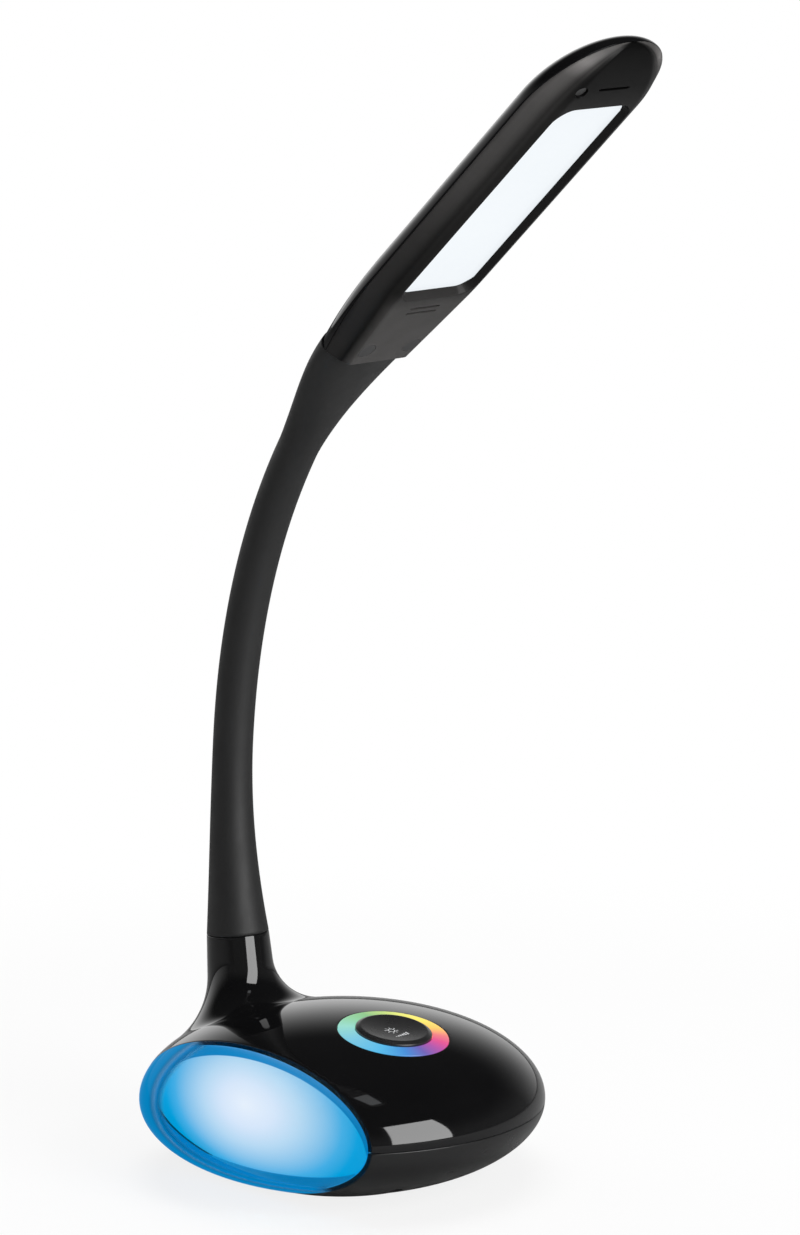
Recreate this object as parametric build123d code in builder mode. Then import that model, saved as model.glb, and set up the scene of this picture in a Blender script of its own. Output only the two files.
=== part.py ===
from build123d import *
from math import asin, atan2, cos, radians, sin, sqrt, tan
import os

# Gooseneck desk lamp: dome base with a lit side window, sleeved gooseneck and flat LED head.
#
# Millimetres. The origin is the centre of the rubber pad's underside, +X is the way the head
# points, +Y is the lamp's left and +Z is up. The lit window is on the right flank (-Y).

# ---------------------------------------------------------------- base: form
base_radius = 90.0
base_waist_z = 34.0          # height of the widest level
base_rise = 39.3             # waist to the top of the dome
base_drop = 37.3             # waist to the bottom of the full form
underside_z = 2.0            # the form is cut flat here
base_wall = 2.5
seam_z = 33.0                # parting level of the two base shells
seam_lip_height = 2.4
seam_lip_wall = 1.4
lip_foot_height = 4.0
fit_gap = 0.15               # clearance between parts that slide together

# ---------------------------------------------------------------- base: window
window_y = -52.0             # plane that cuts the base open
lens_wall = 3.0
spigot_wall = 1.6
spigot_length = 6.0
spigot_root = 4.0            # how far the spigot starts inside the lens
diffuser_thickness = 2.0
diffuser_inset = 2.0         # behind the window's plane
tray_depth = 12.0
tray_wall = 2.0
rgb_board_size = (96.0, 26.0)
board_thickness = 1.6
tray_gap = 0.1               # between the spigot's end and the tray
rgb_board_corner = 4.0
rgb_led_size = 5.0
rgb_led_height = 1.6
rgb_led_count = 6

# ---------------------------------------------------------------- base: controls
ring_inset = 57.0            # from the front of the rim to the colour ring's centre
ring_x = base_radius - ring_inset
ring_radius = 24.5
ring_bore = 17.3
ring_proud = 0.2
ring_depth = 4.1
ring_flange = 1.3
button_gap = 0.3
button_rise = 1.1            # rim of the button above the ring plane
button_dish = 0.9
button_bevel = 2.0
button_skirt = 1.6
button_flange = 1.3
button_travel = 0.8
stem_radius = 3.0
control_board_radius = 31.0
control_board_depth = 9.0
control_post_radius = 2.2
ring_led_size = (3.5, 2.8)
ring_led_height = 1.4
ring_led_count = 8
switch_size = 6.5
switch_height = 3.5
switch_corner = 0.6
plunger_radius = 1.7
plunger_proud = 0.9          # above the switch, with the button up
plunger_depth = 0.8          # inside the switch, with the button up

# ---------------------------------------------------------------- base: inside
flat_radius = base_radius * sqrt(1 - ((base_waist_z - underside_z) / base_drop) ** 2)
pad_margin = 4.24            # of bare shell round the rubber pad
pad_radius = flat_radius - pad_margin
pad_thickness = 2.8
pad_recess = 0.8
ballast_inset = 32.0         # from the rim to the plate
ballast_radius = base_radius - ballast_inset
ballast_foot_inset = 0.23    # inside the flat of the underside
ballast_foot_radius = flat_radius - ballast_foot_inset
ballast_foot_height = 5.0
ballast_height = 11.0
ballast_side_gap = 2.4       # between the plate and the window's tray
ballast_post_circle = 30.0
ballast_screw_grip = 0.3     # how far the posts stand above the plate
post_radius = 4.0
pilot_floor = 2.0            # plastic left under a screw's pilot hole
base_screw_inset = 23.5      # from the rim to the screws' circle
base_screw_turns = (23.0, -23.0, 78.0, 133.0)   # degrees from the front
base_screw_radius = 1.45
base_screw_head = 2.8
base_screw_head_height = 2.0
base_screw_seat = 14.0       # level of the screw heads' seats
base_screw_reach = 12.0      # into the dome's posts
washer_flange = 2.0          # of a ballast screw, around its post
ballast_washer = 1.0
ballast_screw_depth = 7.0
small_head_height = 1.8      # of the inner screws
board_head_radius = 2.1
board_head_height = 1.4
board_screw_depth = 4.0
control_pilot_depth = 5.0
driver_board_size = (42.0, 38.0)
driver_board_centre = (-20.0, 27.0)
driver_board_z = 19.0
driver_post_offset = (14.0, 13.0)
driver_board_corner = 2.0
driver_screw_depth = 6.0
transformer_offset = (-10.0, 5.0)      # of the components from the board's centre
transformer_size = (12.0, 12.0, 7.0)
capacitor_offset = (4.0, -7.0)
capacitor_radius = 4.0
capacitor_height = 11.0
chip_offset = (8.0, 9.0)
chip_size = (7.0, 5.0, 1.6)
header_offset = (2.0, 9.0)
header_size = (3.0, 10.0)
jack_z = 27.0
jack_size = (13.0, 9.0, 11.0)
jack_inset = 9.0             # from the back of the rim to the jack's face
jack_face_x = jack_inset - base_radius
jack_barrel = 4.2
jack_barrel_length = 6.0
jack_bore = 2.8
jack_bore_depth = 9.5
jack_pin = 1.0
cheek_wall = 2.0             # of the jack's cradle
cheek_rise = 3.0             # of its cheeks above the bore
cradle_short = 2.0           # the jack stands out of its cradle by this much in all
jack_recess = 2.0            # of the shell round the barrel

# ---------------------------------------------------------------- neck
collar_inset = 21.9          # from the back of the rim to the middle of the collar's seam
root_x = collar_inset - base_radius
root_z = 96.6
root_lean = -6.0             # degrees from upright, negative leans back
head_pitch = 42.04           # degrees above level
neck_length = 300.9
neck_bend_power = 1.363      # above 1 bends the neck more towards its top
neck_parts = 8               # rigid stretches of hose, with a hinge between neighbours
hinge_gap = 1.8
collar_radius = 14.0
collar_foot_radius = 17.0    # of the collar's cone, at its full depth
collar_depth = 50.0
collar_flare = 14.0
collar_roof = 12.0
collar_cavity = 11.5
sleeve_radius = 9.0
sleeve_root_run = 88.0       # length over which the sleeve narrows above the collar
sleeve_top_run = 66.0        # length over which the sleeve widens towards the head
sleeve_top_width = 25.5      # half width at the head
sleeve_top_height = 10.3     # half height at the head
hose_radius = 4.8
hose_bore = 2.6
lead_radius = 1.8
ferrule_radius = 7.0
ferrule_below = 30.0
ferrule_above = 14.0
nut_flat = 19.0
nut_height = 5.0
washer_radius = 10.5
washer_thickness = 1.0
hose_into_head = 26.0
lead_past_hose = 6.0

# ---------------------------------------------------------------- head
head_rear_width = 25.5       # half widths
head_width = 35.5
head_tip_width = 36.5
head_taper_run = 60.0
head_nose = 38.0
head_crown = 13.4            # parting level to the top
head_belly = 8.7             # parting level to the underside
neck_drop = 2.3              # the neck's axis above the parting level
belly_flat = 22.0
belly_flat_rear = 16.5
flank_bulge = 0.5
head_wall = 2.0
panel_start = 47.4
panel_length = 128.3
panel_to_tip = 34.8
head_length = panel_start + panel_length + panel_to_tip
panel_width = 41.0
panel_corner = 7.0
panel_recess = 3.8
panel_draft = 22.0
panel_seat = 2.5
panel_thickness = 1.5
guide_thickness = 3.0
sheet_thickness = 0.4
plate_thickness = 1.2
led_chip_count = 16
slot_length = 18.0
slot_width = 1.3
slot_pitch = 3.4
slot_start = 35.7
tip_slot_gap = 13.3          # from the panel's end
tip_slot_start = panel_start + panel_length + tip_slot_gap
tip_slot_depth = 1.0
plug_spots = ((9.6, 13.2), (9.6, -13.2))
plug_radius = 4.2
plug_thickness = 1.4
plug_to_screw = 1.8
tip_screw_gap = 12.5         # from the panel's end
tip_screw_side = -18.4
tip_screw_spot = (panel_start + panel_length + tip_screw_gap, tip_screw_side)
tip_screw_depth = 3.2
head_screw_radius = 1.2
head_screw_head = 2.5
head_screw_head_height = 1.6
head_screw_reach = 7.0       # above the join of the bosses
head_pilot_depth = 9.0
head_boss_radius = 4.0
crease_start = 19.0          # half distance between the two creases, at the rear
crease_middle = (23.0, 24.5)
crease_tip = (58.0, 27.2)
crease_width = 1.2           # at the rear, tapering to nothing
crease_depth = 0.8
sheet_slack = 0.2            # round the diffuser in its seat
guide_margin = 1.0           # of the light guide beyond the opening
guide_shift = 1.0            # to the side away from its LEDs
reflector_margin = 1.5
strip_thickness = 0.8
strip_short = 3.0            # the strip ends this far inside the opening
chip_length = 3.0
chip_depth = 0.9
chip_inset = 0.4             # below both edges of the guide
chip_end = 7.0               # from the end of the opening to the end chip's middle
clamp_start = 4.0
clamp_length = 20.0
clamp_width = 17.0
clamp_top = 10.0
grub_radius = 1.5
grub_gap = 0.05


# ================================================================ base geometry
def base_form(inset=0.0):
    """Closed body of the base with every face set in by the same amount."""
    radius = base_radius - inset
    rise = base_rise - inset
    drop = base_drop - inset
    floor = underside_z + inset
    low = asin((base_waist_z - floor) / drop)
    with BuildPart() as form:
        with BuildSketch(Plane.XZ):
            with BuildLine():
                top = (0, base_waist_z + rise)
                waist = (radius, base_waist_z)
                edge = (radius * cos(low), floor)
                # Quarter of an ellipse above the waist, and a shorter stretch of one below it.
                Bezier(waist, (radius, top[1]), top, weights=[1, sqrt(0.5), 1])
                Bezier(edge, (radius, base_waist_z - drop * tan(low / 2)), waist,
                       weights=[1, cos(low / 2), 1])
                Polyline(edge, (0, floor), top)
            make_face()
        revolve(axis=Axis.Z)
    return form.part


def dome_z(x, inset=0.0):
    """Height of the dome, or of its inner face, above a point on the X axis."""
    return base_waist_z + (base_rise - inset) * sqrt(1 - (x / (base_radius - inset)) ** 2)


def slab_y(low, high):
    """Block that keeps what lies between two depths in Y."""
    size = 6 * base_radius
    return Pos(0, (low + high) / 2, 0) * Box(size, high - low, size, mode=Mode.PRIVATE)


def slab_z(low, high):
    """Block that keeps what lies between two heights."""
    size = 6 * base_radius
    return Pos(0, 0, (low + high) / 2) * Box(size, size, high - low, mode=Mode.PRIVATE)


control_tilt = atan2(base_rise ** 2 * ring_x, base_radius ** 2 * (dome_z(ring_x) - base_waist_z))
control_plane = Plane(
    origin=(ring_x, 0, dome_z(ring_x)),
    x_dir=(cos(control_tilt), 0, -sin(control_tilt)),
    z_dir=(sin(control_tilt), 0, cos(control_tilt)),
)
ring_sag = base_rise * (ring_bore / base_radius) ** 2 / 2
far = 3 * base_radius        # further than any part of the base


# ================================================================ neck geometry
def bend_at(share):
    """Angle of the neck's axis from upright after a share of its length, in degrees."""
    return root_lean + (90 - head_pitch - root_lean) * share ** neck_bend_power


part_length = neck_length / neck_parts
arc_ends = [bend_at(k / neck_parts) for k in range(neck_parts + 1)]


def arc_step(x, z, start, end, length):
    """End point of an arc that turns from one angle to another over a length."""
    turn = radians(end - start)
    middle = radians((start + end) / 2)
    chord = length if abs(turn) < 1e-9 else length * sin(turn / 2) / (turn / 2)
    return x + chord * sin(middle), z + chord * cos(middle)


def neck_at(distance):
    """Point and angle of the neck's axis; straight beyond both ends."""
    x, z = root_x, root_z
    if distance <= 0:
        lean = radians(root_lean)
        return x + distance * sin(lean), z + distance * cos(lean), root_lean
    for k in range(neck_parts):
        start, end = arc_ends[k], arc_ends[k + 1]
        if distance <= part_length:
            now = start + (end - start) * distance / part_length
            x, z = arc_step(x, z, start, now, distance)
            return x, z, now
        x, z = arc_step(x, z, start, end, part_length)
        distance -= part_length
    lean = radians(arc_ends[-1])
    return x + distance * sin(lean), z + distance * cos(lean), arc_ends[-1]


def neck_plane(distance):
    """Plane square to the neck: local X is the lamp's left-right, local Y its front-back."""
    x, z, angle = neck_at(distance)
    lean = radians(angle)
    return Plane(origin=(x, 0, z), x_dir=(0, -1, 0), z_dir=(sin(lean), 0, cos(lean)))


def neck_path(start, end):
    """Line of tangent arcs along the neck between two distances."""
    stops = [start] + [k * part_length for k in range(neck_parts + 1)] + [end]
    stops = sorted({s for s in stops if start <= s <= end})
    with BuildLine() as path:
        for low, high in zip(stops, stops[1:]):
            points = [neck_at(s) for s in (low, (low + high) / 2, high)]
            spots = [(x, 0, z) for x, z, _ in points]
            if abs(points[0][2] - points[2][2]) < 1e-6:
                Line(spots[0], spots[2])
            else:
                ThreePointArc(*spots)
    return path.wire()


def neck_tube(start, end, radius):
    """Round bar along the neck."""
    with BuildPart() as tube:
        with BuildLine():
            add(neck_path(start, end))
        with BuildSketch(neck_plane(start)):
            Circle(radius)
        sweep()
    return tube.part


collar_plane = neck_plane(0)


# ================================================================ head geometry
head_axis = radians(head_pitch)
neck_end = neck_at(neck_length)
head_origin = (
    neck_end[0] + neck_drop * sin(head_axis),
    0,
    neck_end[1] - neck_drop * cos(head_axis),
)
# Local X runs to the tip, local Y to the lamp's left, local Z to the back of the head.
# Its origin is on the parting level, at the rear end of the head.
head_plane = Plane(
    origin=head_origin,
    x_dir=(cos(head_axis), 0, sin(head_axis)),
    z_dir=(-sin(head_axis), 0, cos(head_axis)),
)


def head_station(along):
    """Plane across the head: local X is left-right, local Y is towards its back."""
    spot = head_plane.from_local_coords(Vector(along, 0, 0))
    return Plane(origin=spot, x_dir=(0, 1, 0), z_dir=head_plane.x_dir)


def nose_share(along, shrink=0.0):
    """Share of the full section that is left at a place in the rounded nose."""
    run = head_nose - shrink
    into = (along - (head_length - head_nose)) / run
    return 1.0 if into <= 0 else sqrt(max(0.0, 1 - into ** 2))


def half_width(along):
    """Half width of the head before the nose rounds it off."""
    if along < head_taper_run:
        rest = 1 - along / head_taper_run
        return head_width - (head_width - head_rear_width) * rest ** 2
    share = (along - head_taper_run) / (head_length - head_nose - head_taper_run)
    return head_width + (head_tip_width - head_width) * min(1.0, share)


def flat_width(along):
    """Half width of the flat underside."""
    share = min(1.0, along / (0.75 * head_taper_run))
    return belly_flat_rear + (belly_flat - belly_flat_rear) * share


nose_start = head_length - head_nose


def head_stops(start, shrink):
    """Places along the head where its section is drawn."""
    straight = [10, 22, 36, 50, 65, 110, nose_start - 20]
    run = head_nose - shrink
    nose = [nose_start + run * k for k in (0.0, 0.3, 0.5, 0.7, 0.85, 0.94, 0.985, 0.998)]
    return [start] + [s for s in straight if s > start + 4] + nose


def crown_form(inset=0.0, start=0.0):
    """Closed upper half of the head, set in by a wall."""
    with BuildPart() as form:
        for along in head_stops(start, inset):
            share = nose_share(along, inset)
            wide = (half_width(along) - inset) * share
            high = (head_crown - inset) * share
            with BuildSketch(head_station(along)):
                with BuildLine():
                    EllipticalCenterArc((0, 0), wide, high, 0, arc_size=180)
                    Line((-wide, 0), (wide, 0))
                make_face()
        loft()
    return form.part


def belly_form(inset=0.0, start=0.0, top=0.0):
    """Closed lower half of the head, set in by a wall; it may reach above the parting level."""
    with BuildPart() as form:
        for along in head_stops(start, inset):
            share = nose_share(along, inset)
            wide = (half_width(along) - inset) * share
            flat = (flat_width(along) - inset / 2) * share
            deep = (head_belly - inset) * share
            out = ((wide + flat) / 2, -deep / 2)
            push = flank_bulge * share / sqrt(deep ** 2 + (wide - flat) ** 2)
            out = (out[0] + push * deep, out[1] - push * (wide - flat))
            with BuildSketch(head_station(along)):
                with BuildLine():
                    ThreePointArc((wide, top), out, (flat, -deep))
                    Line((flat, -deep), (-flat, -deep))
                    ThreePointArc((-flat, -deep), (-out[0], out[1]), (-wide, top))
                    Line((-wide, top), (wide, top))
                make_face()
        loft()
    return form.part


# ================================================================ base shells
skin = base_form()
hollow = base_form(base_wall)
root_form = base_form(base_wall / 2)
window_side = slab_y(window_y, far)

# Bosses on the floor of the lower shell, with the screw and post holes left for later.
boss_top = seam_z - 3
base_screw_circle = base_radius - base_screw_inset
base_screw_spots = [
    (base_screw_circle * cos(radians(a)), base_screw_circle * sin(radians(a)))
    for a in base_screw_turns
]
driver_posts = [
    (driver_board_centre[0] + side * driver_post_offset[0],
     driver_board_centre[1] + side * driver_post_offset[1])
    for side in (-1, 1)
]
ballast_floor = underside_z + base_wall
ballast_top = ballast_floor + ballast_height
ballast_posts = [
    (ballast_post_circle * cos(radians(a)), ballast_post_circle * sin(radians(a)))
    for a in (0, 120, 240)
]
ballast_post_top = ballast_top + ballast_screw_grip
jack_cheek = jack_size[1] / 2 + fit_gap + cheek_wall / 2
jack_middle = jack_face_x + jack_size[0] / 2
cradle_length = jack_size[0] - cradle_short
jack_end = jack_face_x - jack_barrel_length
with BuildPart() as floor_bosses:
    with BuildSketch(Plane.XY):
        with Locations(*base_screw_spots):
            Circle(post_radius + 0.6)
    extrude(amount=boss_top)
    with BuildSketch(Plane.XY):
        with Locations(*ballast_posts):
            Circle(post_radius)
    extrude(amount=ballast_post_top)
    with BuildSketch(Plane.XY):
        with Locations(*driver_posts):
            Circle(post_radius)
    extrude(amount=driver_board_z)
    # Cradle of the inlet jack: a shelf with a cheek at each side.
    with BuildSketch(Plane.XY):
        with Locations((jack_middle, 0)):
            Rectangle(cradle_length, 2 * jack_cheek + cheek_wall)
    extrude(amount=jack_z - jack_size[2] / 2)
    with BuildSketch(Plane.XY):
        with Locations((jack_middle, jack_cheek), (jack_middle, -jack_cheek)):
            Rectangle(cradle_length, cheek_wall)
    extrude(amount=jack_z + cheek_rise)
    add(root_form, mode=Mode.INTERSECT)

# The lip that centres the dome stops short of the window's tray.
tray_y = window_y + spigot_length + tray_gap
tray_back_y = tray_y + tray_depth
lip_side = slab_y(tray_back_y + 2 * fit_gap, far)
lip_outer = base_form(base_wall + fit_gap)
lip_inner = base_form(base_wall + fit_gap + seam_lip_wall)
with BuildPart() as seam_lip:
    add(lip_outer)
    add(slab_z(seam_z, seam_z + seam_lip_height), mode=Mode.INTERSECT)
    add(lip_inner, mode=Mode.SUBTRACT)
    add(lip_side, mode=Mode.INTERSECT)
with BuildPart() as lip_foot:
    add(root_form)
    add(slab_z(seam_z - lip_foot_height, seam_z), mode=Mode.INTERSECT)
    add(lip_inner, mode=Mode.SUBTRACT)
    add(lip_side, mode=Mode.INTERSECT)

with BuildPart() as base_bottom_shell:
    add(skin)
    add(slab_z(0, seam_z), mode=Mode.INTERSECT)
    add(hollow, mode=Mode.SUBTRACT)
    add(lip_foot.part)
    add(seam_lip.part)
    add(floor_bosses.part)
    # Recess for the rubber pad.
    with BuildSketch(Plane.XY):
        Circle(pad_radius + fit_gap)
    extrude(amount=underside_z + pad_recess, mode=Mode.SUBTRACT)
    # Screw holes with deep counterbores from below.
    with BuildSketch(Plane.XY):
        with Locations(*base_screw_spots):
            Circle(base_screw_head + 0.2)
    extrude(amount=base_screw_seat, mode=Mode.SUBTRACT)
    with BuildSketch(Plane.XY):
        with Locations(*base_screw_spots):
            Circle(base_screw_radius + fit_gap)
    extrude(amount=boss_top + 1, mode=Mode.SUBTRACT)
    # Pilot holes in the posts.
    with BuildSketch(Plane.XY.offset(ballast_floor + pilot_floor)):
        with Locations(*ballast_posts):
            Circle(base_screw_radius + 0.05)
        with Locations(*driver_posts):
            Circle(base_screw_radius - 0.15)
    extrude(amount=driver_board_z, mode=Mode.SUBTRACT)
    # Opening for the barrel of the inlet jack, in a round recess.
    with BuildSketch(Plane.YZ.offset(jack_face_x)):
        with Locations((0, jack_z)):
            Circle(jack_barrel + fit_gap)
    extrude(amount=-base_radius / 3, mode=Mode.SUBTRACT)
    with BuildSketch(Plane.YZ.offset(jack_end - fit_gap)):
        with Locations((0, jack_z)):
            Circle(jack_barrel + jack_recess)
    extrude(amount=-base_radius / 3, mode=Mode.SUBTRACT)
    add(window_side, mode=Mode.INTERSECT)
base_bottom_shell.part.label = "base_bottom_shell"

# Posts that hang from the dome: screw bosses at the rim and three for the control board.
control_posts = [
    (sin(radians(a)) * (control_board_radius - control_post_radius - 0.2),
     cos(radians(a)) * (control_board_radius - control_post_radius - 0.2))
    for a in (30, 150, 270)
]
with BuildPart() as dome_posts:
    with BuildSketch(Plane.XY.offset(boss_top + 0.1)):
        with Locations(*base_screw_spots):
            Circle(post_radius)
    extrude(amount=base_rise)
    with BuildSketch(control_plane.offset(-control_board_depth)):
        with Locations(*control_posts):
            Circle(control_post_radius)
    extrude(amount=control_board_depth)
    add(root_form, mode=Mode.INTERSECT)

collar_side = Plane(
    origin=collar_plane.origin,
    x_dir=(cos(radians(root_lean)), 0, -sin(radians(root_lean))),
    z_dir=(0, -1, 0),
)
collar_axis = Axis(collar_plane.origin, collar_plane.z_dir)


def is_collar_root(edge):
    """True for the closed edge where the collar meets the dome."""
    middle = edge.center()
    return edge.is_closed and middle.X < root_x / 2 and seam_z + 5 < middle.Z < root_z - 10


with BuildPart() as base_top_shell:
    add(skin)
    add(slab_z(seam_z, far), mode=Mode.INTERSECT)
    with BuildSketch(collar_side):
        with BuildLine():
            Polyline(
                (0, 0), (collar_radius, 0), (collar_foot_radius, -collar_depth),
                (0, -collar_depth), close=True,
            )
        make_face()
    revolve(axis=collar_axis)
    fillet(base_top_shell.edges().filter_by(is_collar_root), radius=collar_flare)
    add(hollow, mode=Mode.SUBTRACT)
    # Room inside the collar for the nut, and the bore of its roof for the ferrule.
    with BuildSketch(collar_plane.offset(-collar_roof)):
        Circle(collar_cavity)
    extrude(amount=-collar_depth, mode=Mode.SUBTRACT)
    with BuildSketch(collar_plane.offset(1)):
        Circle(ferrule_radius + fit_gap)
    extrude(amount=-collar_depth, mode=Mode.SUBTRACT)
    add(dome_posts.part)
    with BuildSketch(Plane.XY.offset(boss_top)):
        with Locations(*base_screw_spots):
            Circle(base_screw_radius + 0.05)
    extrude(amount=base_screw_reach + 2, mode=Mode.SUBTRACT)
    # Round opening for the colour ring.
    with BuildSketch(control_plane.offset(-ring_depth - 2)):
        Circle(ring_radius + fit_gap)
    extrude(amount=ring_depth + 6, mode=Mode.SUBTRACT)
    with BuildSketch(control_plane.offset(-control_board_depth)):
        with Locations(*control_posts):
            Circle(base_screw_radius - 0.35)
    extrude(amount=control_pilot_depth, mode=Mode.SUBTRACT)
    add(window_side, mode=Mode.INTERSECT)
base_top_shell.part.label = "base_top_shell"

# ================================================================ lit window
lens_inside = base_form(lens_wall)
spigot_outer = base_form(base_wall + fit_gap)
spigot_inner = base_form(base_wall + fit_gap + spigot_wall)
with BuildPart() as lens_spigot:
    add(spigot_outer)
    add(slab_y(window_y - spigot_root, window_y + spigot_length), mode=Mode.INTERSECT)
    add(spigot_inner, mode=Mode.SUBTRACT)
with BuildPart() as window_lens:
    add(skin)
    add(slab_y(-far, window_y - fit_gap), mode=Mode.INTERSECT)
    add(lens_inside, mode=Mode.SUBTRACT)
    add(lens_spigot.part)
window_lens.part.label = "window_lens"

diffuser_form = base_form(base_wall + 2 * fit_gap + spigot_wall)
with BuildPart() as window_diffuser:
    add(diffuser_form)
    diffuser_y = window_y + diffuser_inset
    add(slab_y(diffuser_y, diffuser_y + diffuser_thickness), mode=Mode.INTERSECT)
window_diffuser.part.label = "window_diffuser"

tray_outer = base_form(base_wall + 0.5)
tray_inner = base_form(base_wall + 0.5 + tray_wall)
with BuildPart() as tray_hollow:
    add(tray_inner)
    add(slab_y(tray_y - 1, tray_back_y - tray_wall), mode=Mode.INTERSECT)
with BuildPart() as window_tray:
    add(tray_outer)
    add(slab_y(tray_y, tray_back_y), mode=Mode.INTERSECT)
    add(tray_hollow.part, mode=Mode.SUBTRACT)
window_tray.part.label = "window_tray"

board_face_y = tray_back_y - tray_wall - board_thickness
window_plane = Plane(origin=(0, board_face_y, base_waist_z), x_dir=(1, 0, 0), z_dir=(0, -1, 0))
with BuildPart() as rgb_board:
    with BuildSketch(window_plane):
        RectangleRounded(*rgb_board_size, rgb_board_corner)
    extrude(amount=-board_thickness)
rgb_board.part.label = "rgb_board"

led_pitch = rgb_board_size[0] / rgb_led_count
with BuildPart() as rgb_leds:
    with BuildSketch(window_plane):
        with GridLocations(led_pitch, 1, rgb_led_count, 1):
            Rectangle(rgb_led_size, rgb_led_size)
    extrude(amount=rgb_led_height)
rgb_leds.part.label = "rgb_leds"

# ================================================================ controls
ring_top = base_form(-ring_proud)
ring_under = base_form(ring_depth)
flange_top = base_form(base_wall + 0.1)
with BuildPart() as ring_rim:
    with BuildSketch(control_plane.offset(-2 * ring_depth)):
        Circle(ring_radius + ring_flange)
        Circle(ring_bore, mode=Mode.SUBTRACT)
    extrude(amount=3 * ring_depth)
    add(flange_top, mode=Mode.INTERSECT)
    add(ring_under, mode=Mode.SUBTRACT)
with BuildPart() as colour_ring:
    with BuildSketch(control_plane.offset(-2 * ring_depth)):
        Circle(ring_radius)
        Circle(ring_bore, mode=Mode.SUBTRACT)
    extrude(amount=3 * ring_depth)
    add(ring_top, mode=Mode.INTERSECT)
    add(ring_under, mode=Mode.SUBTRACT)
    add(ring_rim.part)
colour_ring.part.label = "colour_ring"

button_radius = ring_bore - button_gap
flange_level = -(ring_depth + ring_sag + 0.25)
flange_radius = ring_bore + button_flange
switch_top = -control_board_depth + switch_height
plunger_top = switch_top + plunger_proud
control_side = Plane(
    origin=control_plane.origin, x_dir=control_plane.x_dir, z_dir=(0, -1, 0)
)
control_axis = Axis(control_plane.origin, control_plane.z_dir)
with BuildPart() as dimmer_button:
    with BuildSketch(control_side):
        with BuildLine():
            rim = (button_radius - button_bevel, button_rise)
            dish = (0, button_rise - button_dish)
            halfway = (rim[0] / 2, button_rise - 0.75 * button_dish)
            ThreePointArc(dish, halfway, rim)
            Polyline(
                rim,
                (button_radius, button_rise - button_bevel / 2),
                (button_radius, flange_level),
                (flange_radius, flange_level),
                (flange_radius, flange_level - 1),
                (button_radius - button_skirt, flange_level - 1),
                (button_radius - button_skirt, -button_skirt),
                (stem_radius, -button_skirt),
                (stem_radius, plunger_top + 0.1),
                (0, plunger_top + 0.1),
                dish,
            )
        make_face()
    revolve(axis=control_axis)
dimmer_button.part.label = "dimmer_button"

with BuildPart() as switch_plunger:
    with BuildSketch(control_plane.offset(plunger_top)):
        Circle(plunger_radius)
    extrude(amount=-plunger_proud - plunger_depth)
switch_plunger.part.label = "switch_plunger"

with BuildPart() as tact_switch:
    with BuildSketch(control_plane.offset(-control_board_depth)):
        RectangleRounded(switch_size, switch_size, switch_corner)
    extrude(amount=switch_height)
    with BuildSketch(control_plane.offset(switch_top)):
        Circle(plunger_radius + 0.1)
    extrude(amount=-plunger_depth - button_travel - button_gap, mode=Mode.SUBTRACT)
tact_switch.part.label = "tact_switch"

with BuildPart() as control_board:
    with BuildSketch(control_plane.offset(-control_board_depth)):
        Circle(control_board_radius)
        with Locations(*control_posts):
            Circle(base_screw_radius - 0.2, mode=Mode.SUBTRACT)
    extrude(amount=-board_thickness)
control_board.part.label = "control_board"

with BuildPart() as ring_leds:
    with BuildSketch(control_plane.offset(-control_board_depth)):
        with PolarLocations((ring_radius + ring_bore) / 2, ring_led_count):
            Rectangle(*ring_led_size)
    extrude(amount=ring_led_height)
ring_leds.part.label = "ring_leds"

with BuildPart() as control_board_screws:
    with BuildSketch(control_plane.offset(-control_board_depth - board_thickness)):
        with Locations(*control_posts):
            Circle(board_head_radius)
    extrude(amount=-board_head_height)
    with BuildSketch(control_plane.offset(-control_board_depth - board_thickness)):
        with Locations(*control_posts):
            Circle(base_screw_radius - 0.4)
    extrude(amount=board_thickness + board_screw_depth)
control_board_screws.part.label = "control_board_screws"

# ================================================================ inside the base
with BuildPart() as rubber_pad:
    with BuildSketch(Plane.XY):
        Circle(pad_radius)
    extrude(amount=pad_thickness)
    chamfer(rubber_pad.faces().sort_by(Axis.Z)[0].edges(), length=0.5)
rubber_pad.part.label = "rubber_pad"

ballast_side = slab_y(tray_back_y + ballast_side_gap, far)
with BuildPart() as ballast_plate:
    with BuildSketch(Plane.XY.offset(ballast_floor)):
        Circle(ballast_foot_radius)
    extrude(amount=ballast_foot_height)
    with BuildSketch(Plane.XY.offset(ballast_floor + ballast_foot_height)):
        Circle(ballast_radius)
    extrude(amount=ballast_top - ballast_floor - ballast_foot_height)
    with BuildSketch(Plane.XY):
        with Locations(*ballast_posts, *driver_posts):
            Circle(post_radius + 0.3)
    extrude(amount=far, mode=Mode.SUBTRACT)
    add(ballast_side, mode=Mode.INTERSECT)
ballast_plate.part.label = "ballast_plate"

with BuildPart() as ballast_screws:
    with BuildSketch(Plane.XY.offset(ballast_post_top)):
        with Locations(*ballast_posts):
            Circle(post_radius + washer_flange)
    extrude(amount=ballast_washer)
    with BuildSketch(Plane.XY.offset(ballast_post_top + ballast_washer)):
        with Locations(*ballast_posts):
            Circle(base_screw_head)
    extrude(amount=small_head_height)
    with BuildSketch(Plane.XY.offset(ballast_post_top)):
        with Locations(*ballast_posts):
            Circle(base_screw_radius)
    extrude(amount=-ballast_screw_depth)
ballast_screws.part.label = "ballast_screws"

with BuildPart() as driver_board:
    with BuildSketch(Plane.XY.offset(driver_board_z)):
        with Locations(driver_board_centre):
            RectangleRounded(*driver_board_size, driver_board_corner)
        with Locations(*driver_posts):
            Circle(base_screw_radius, mode=Mode.SUBTRACT)
    extrude(amount=board_thickness)
driver_board.part.label = "driver_board"

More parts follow.
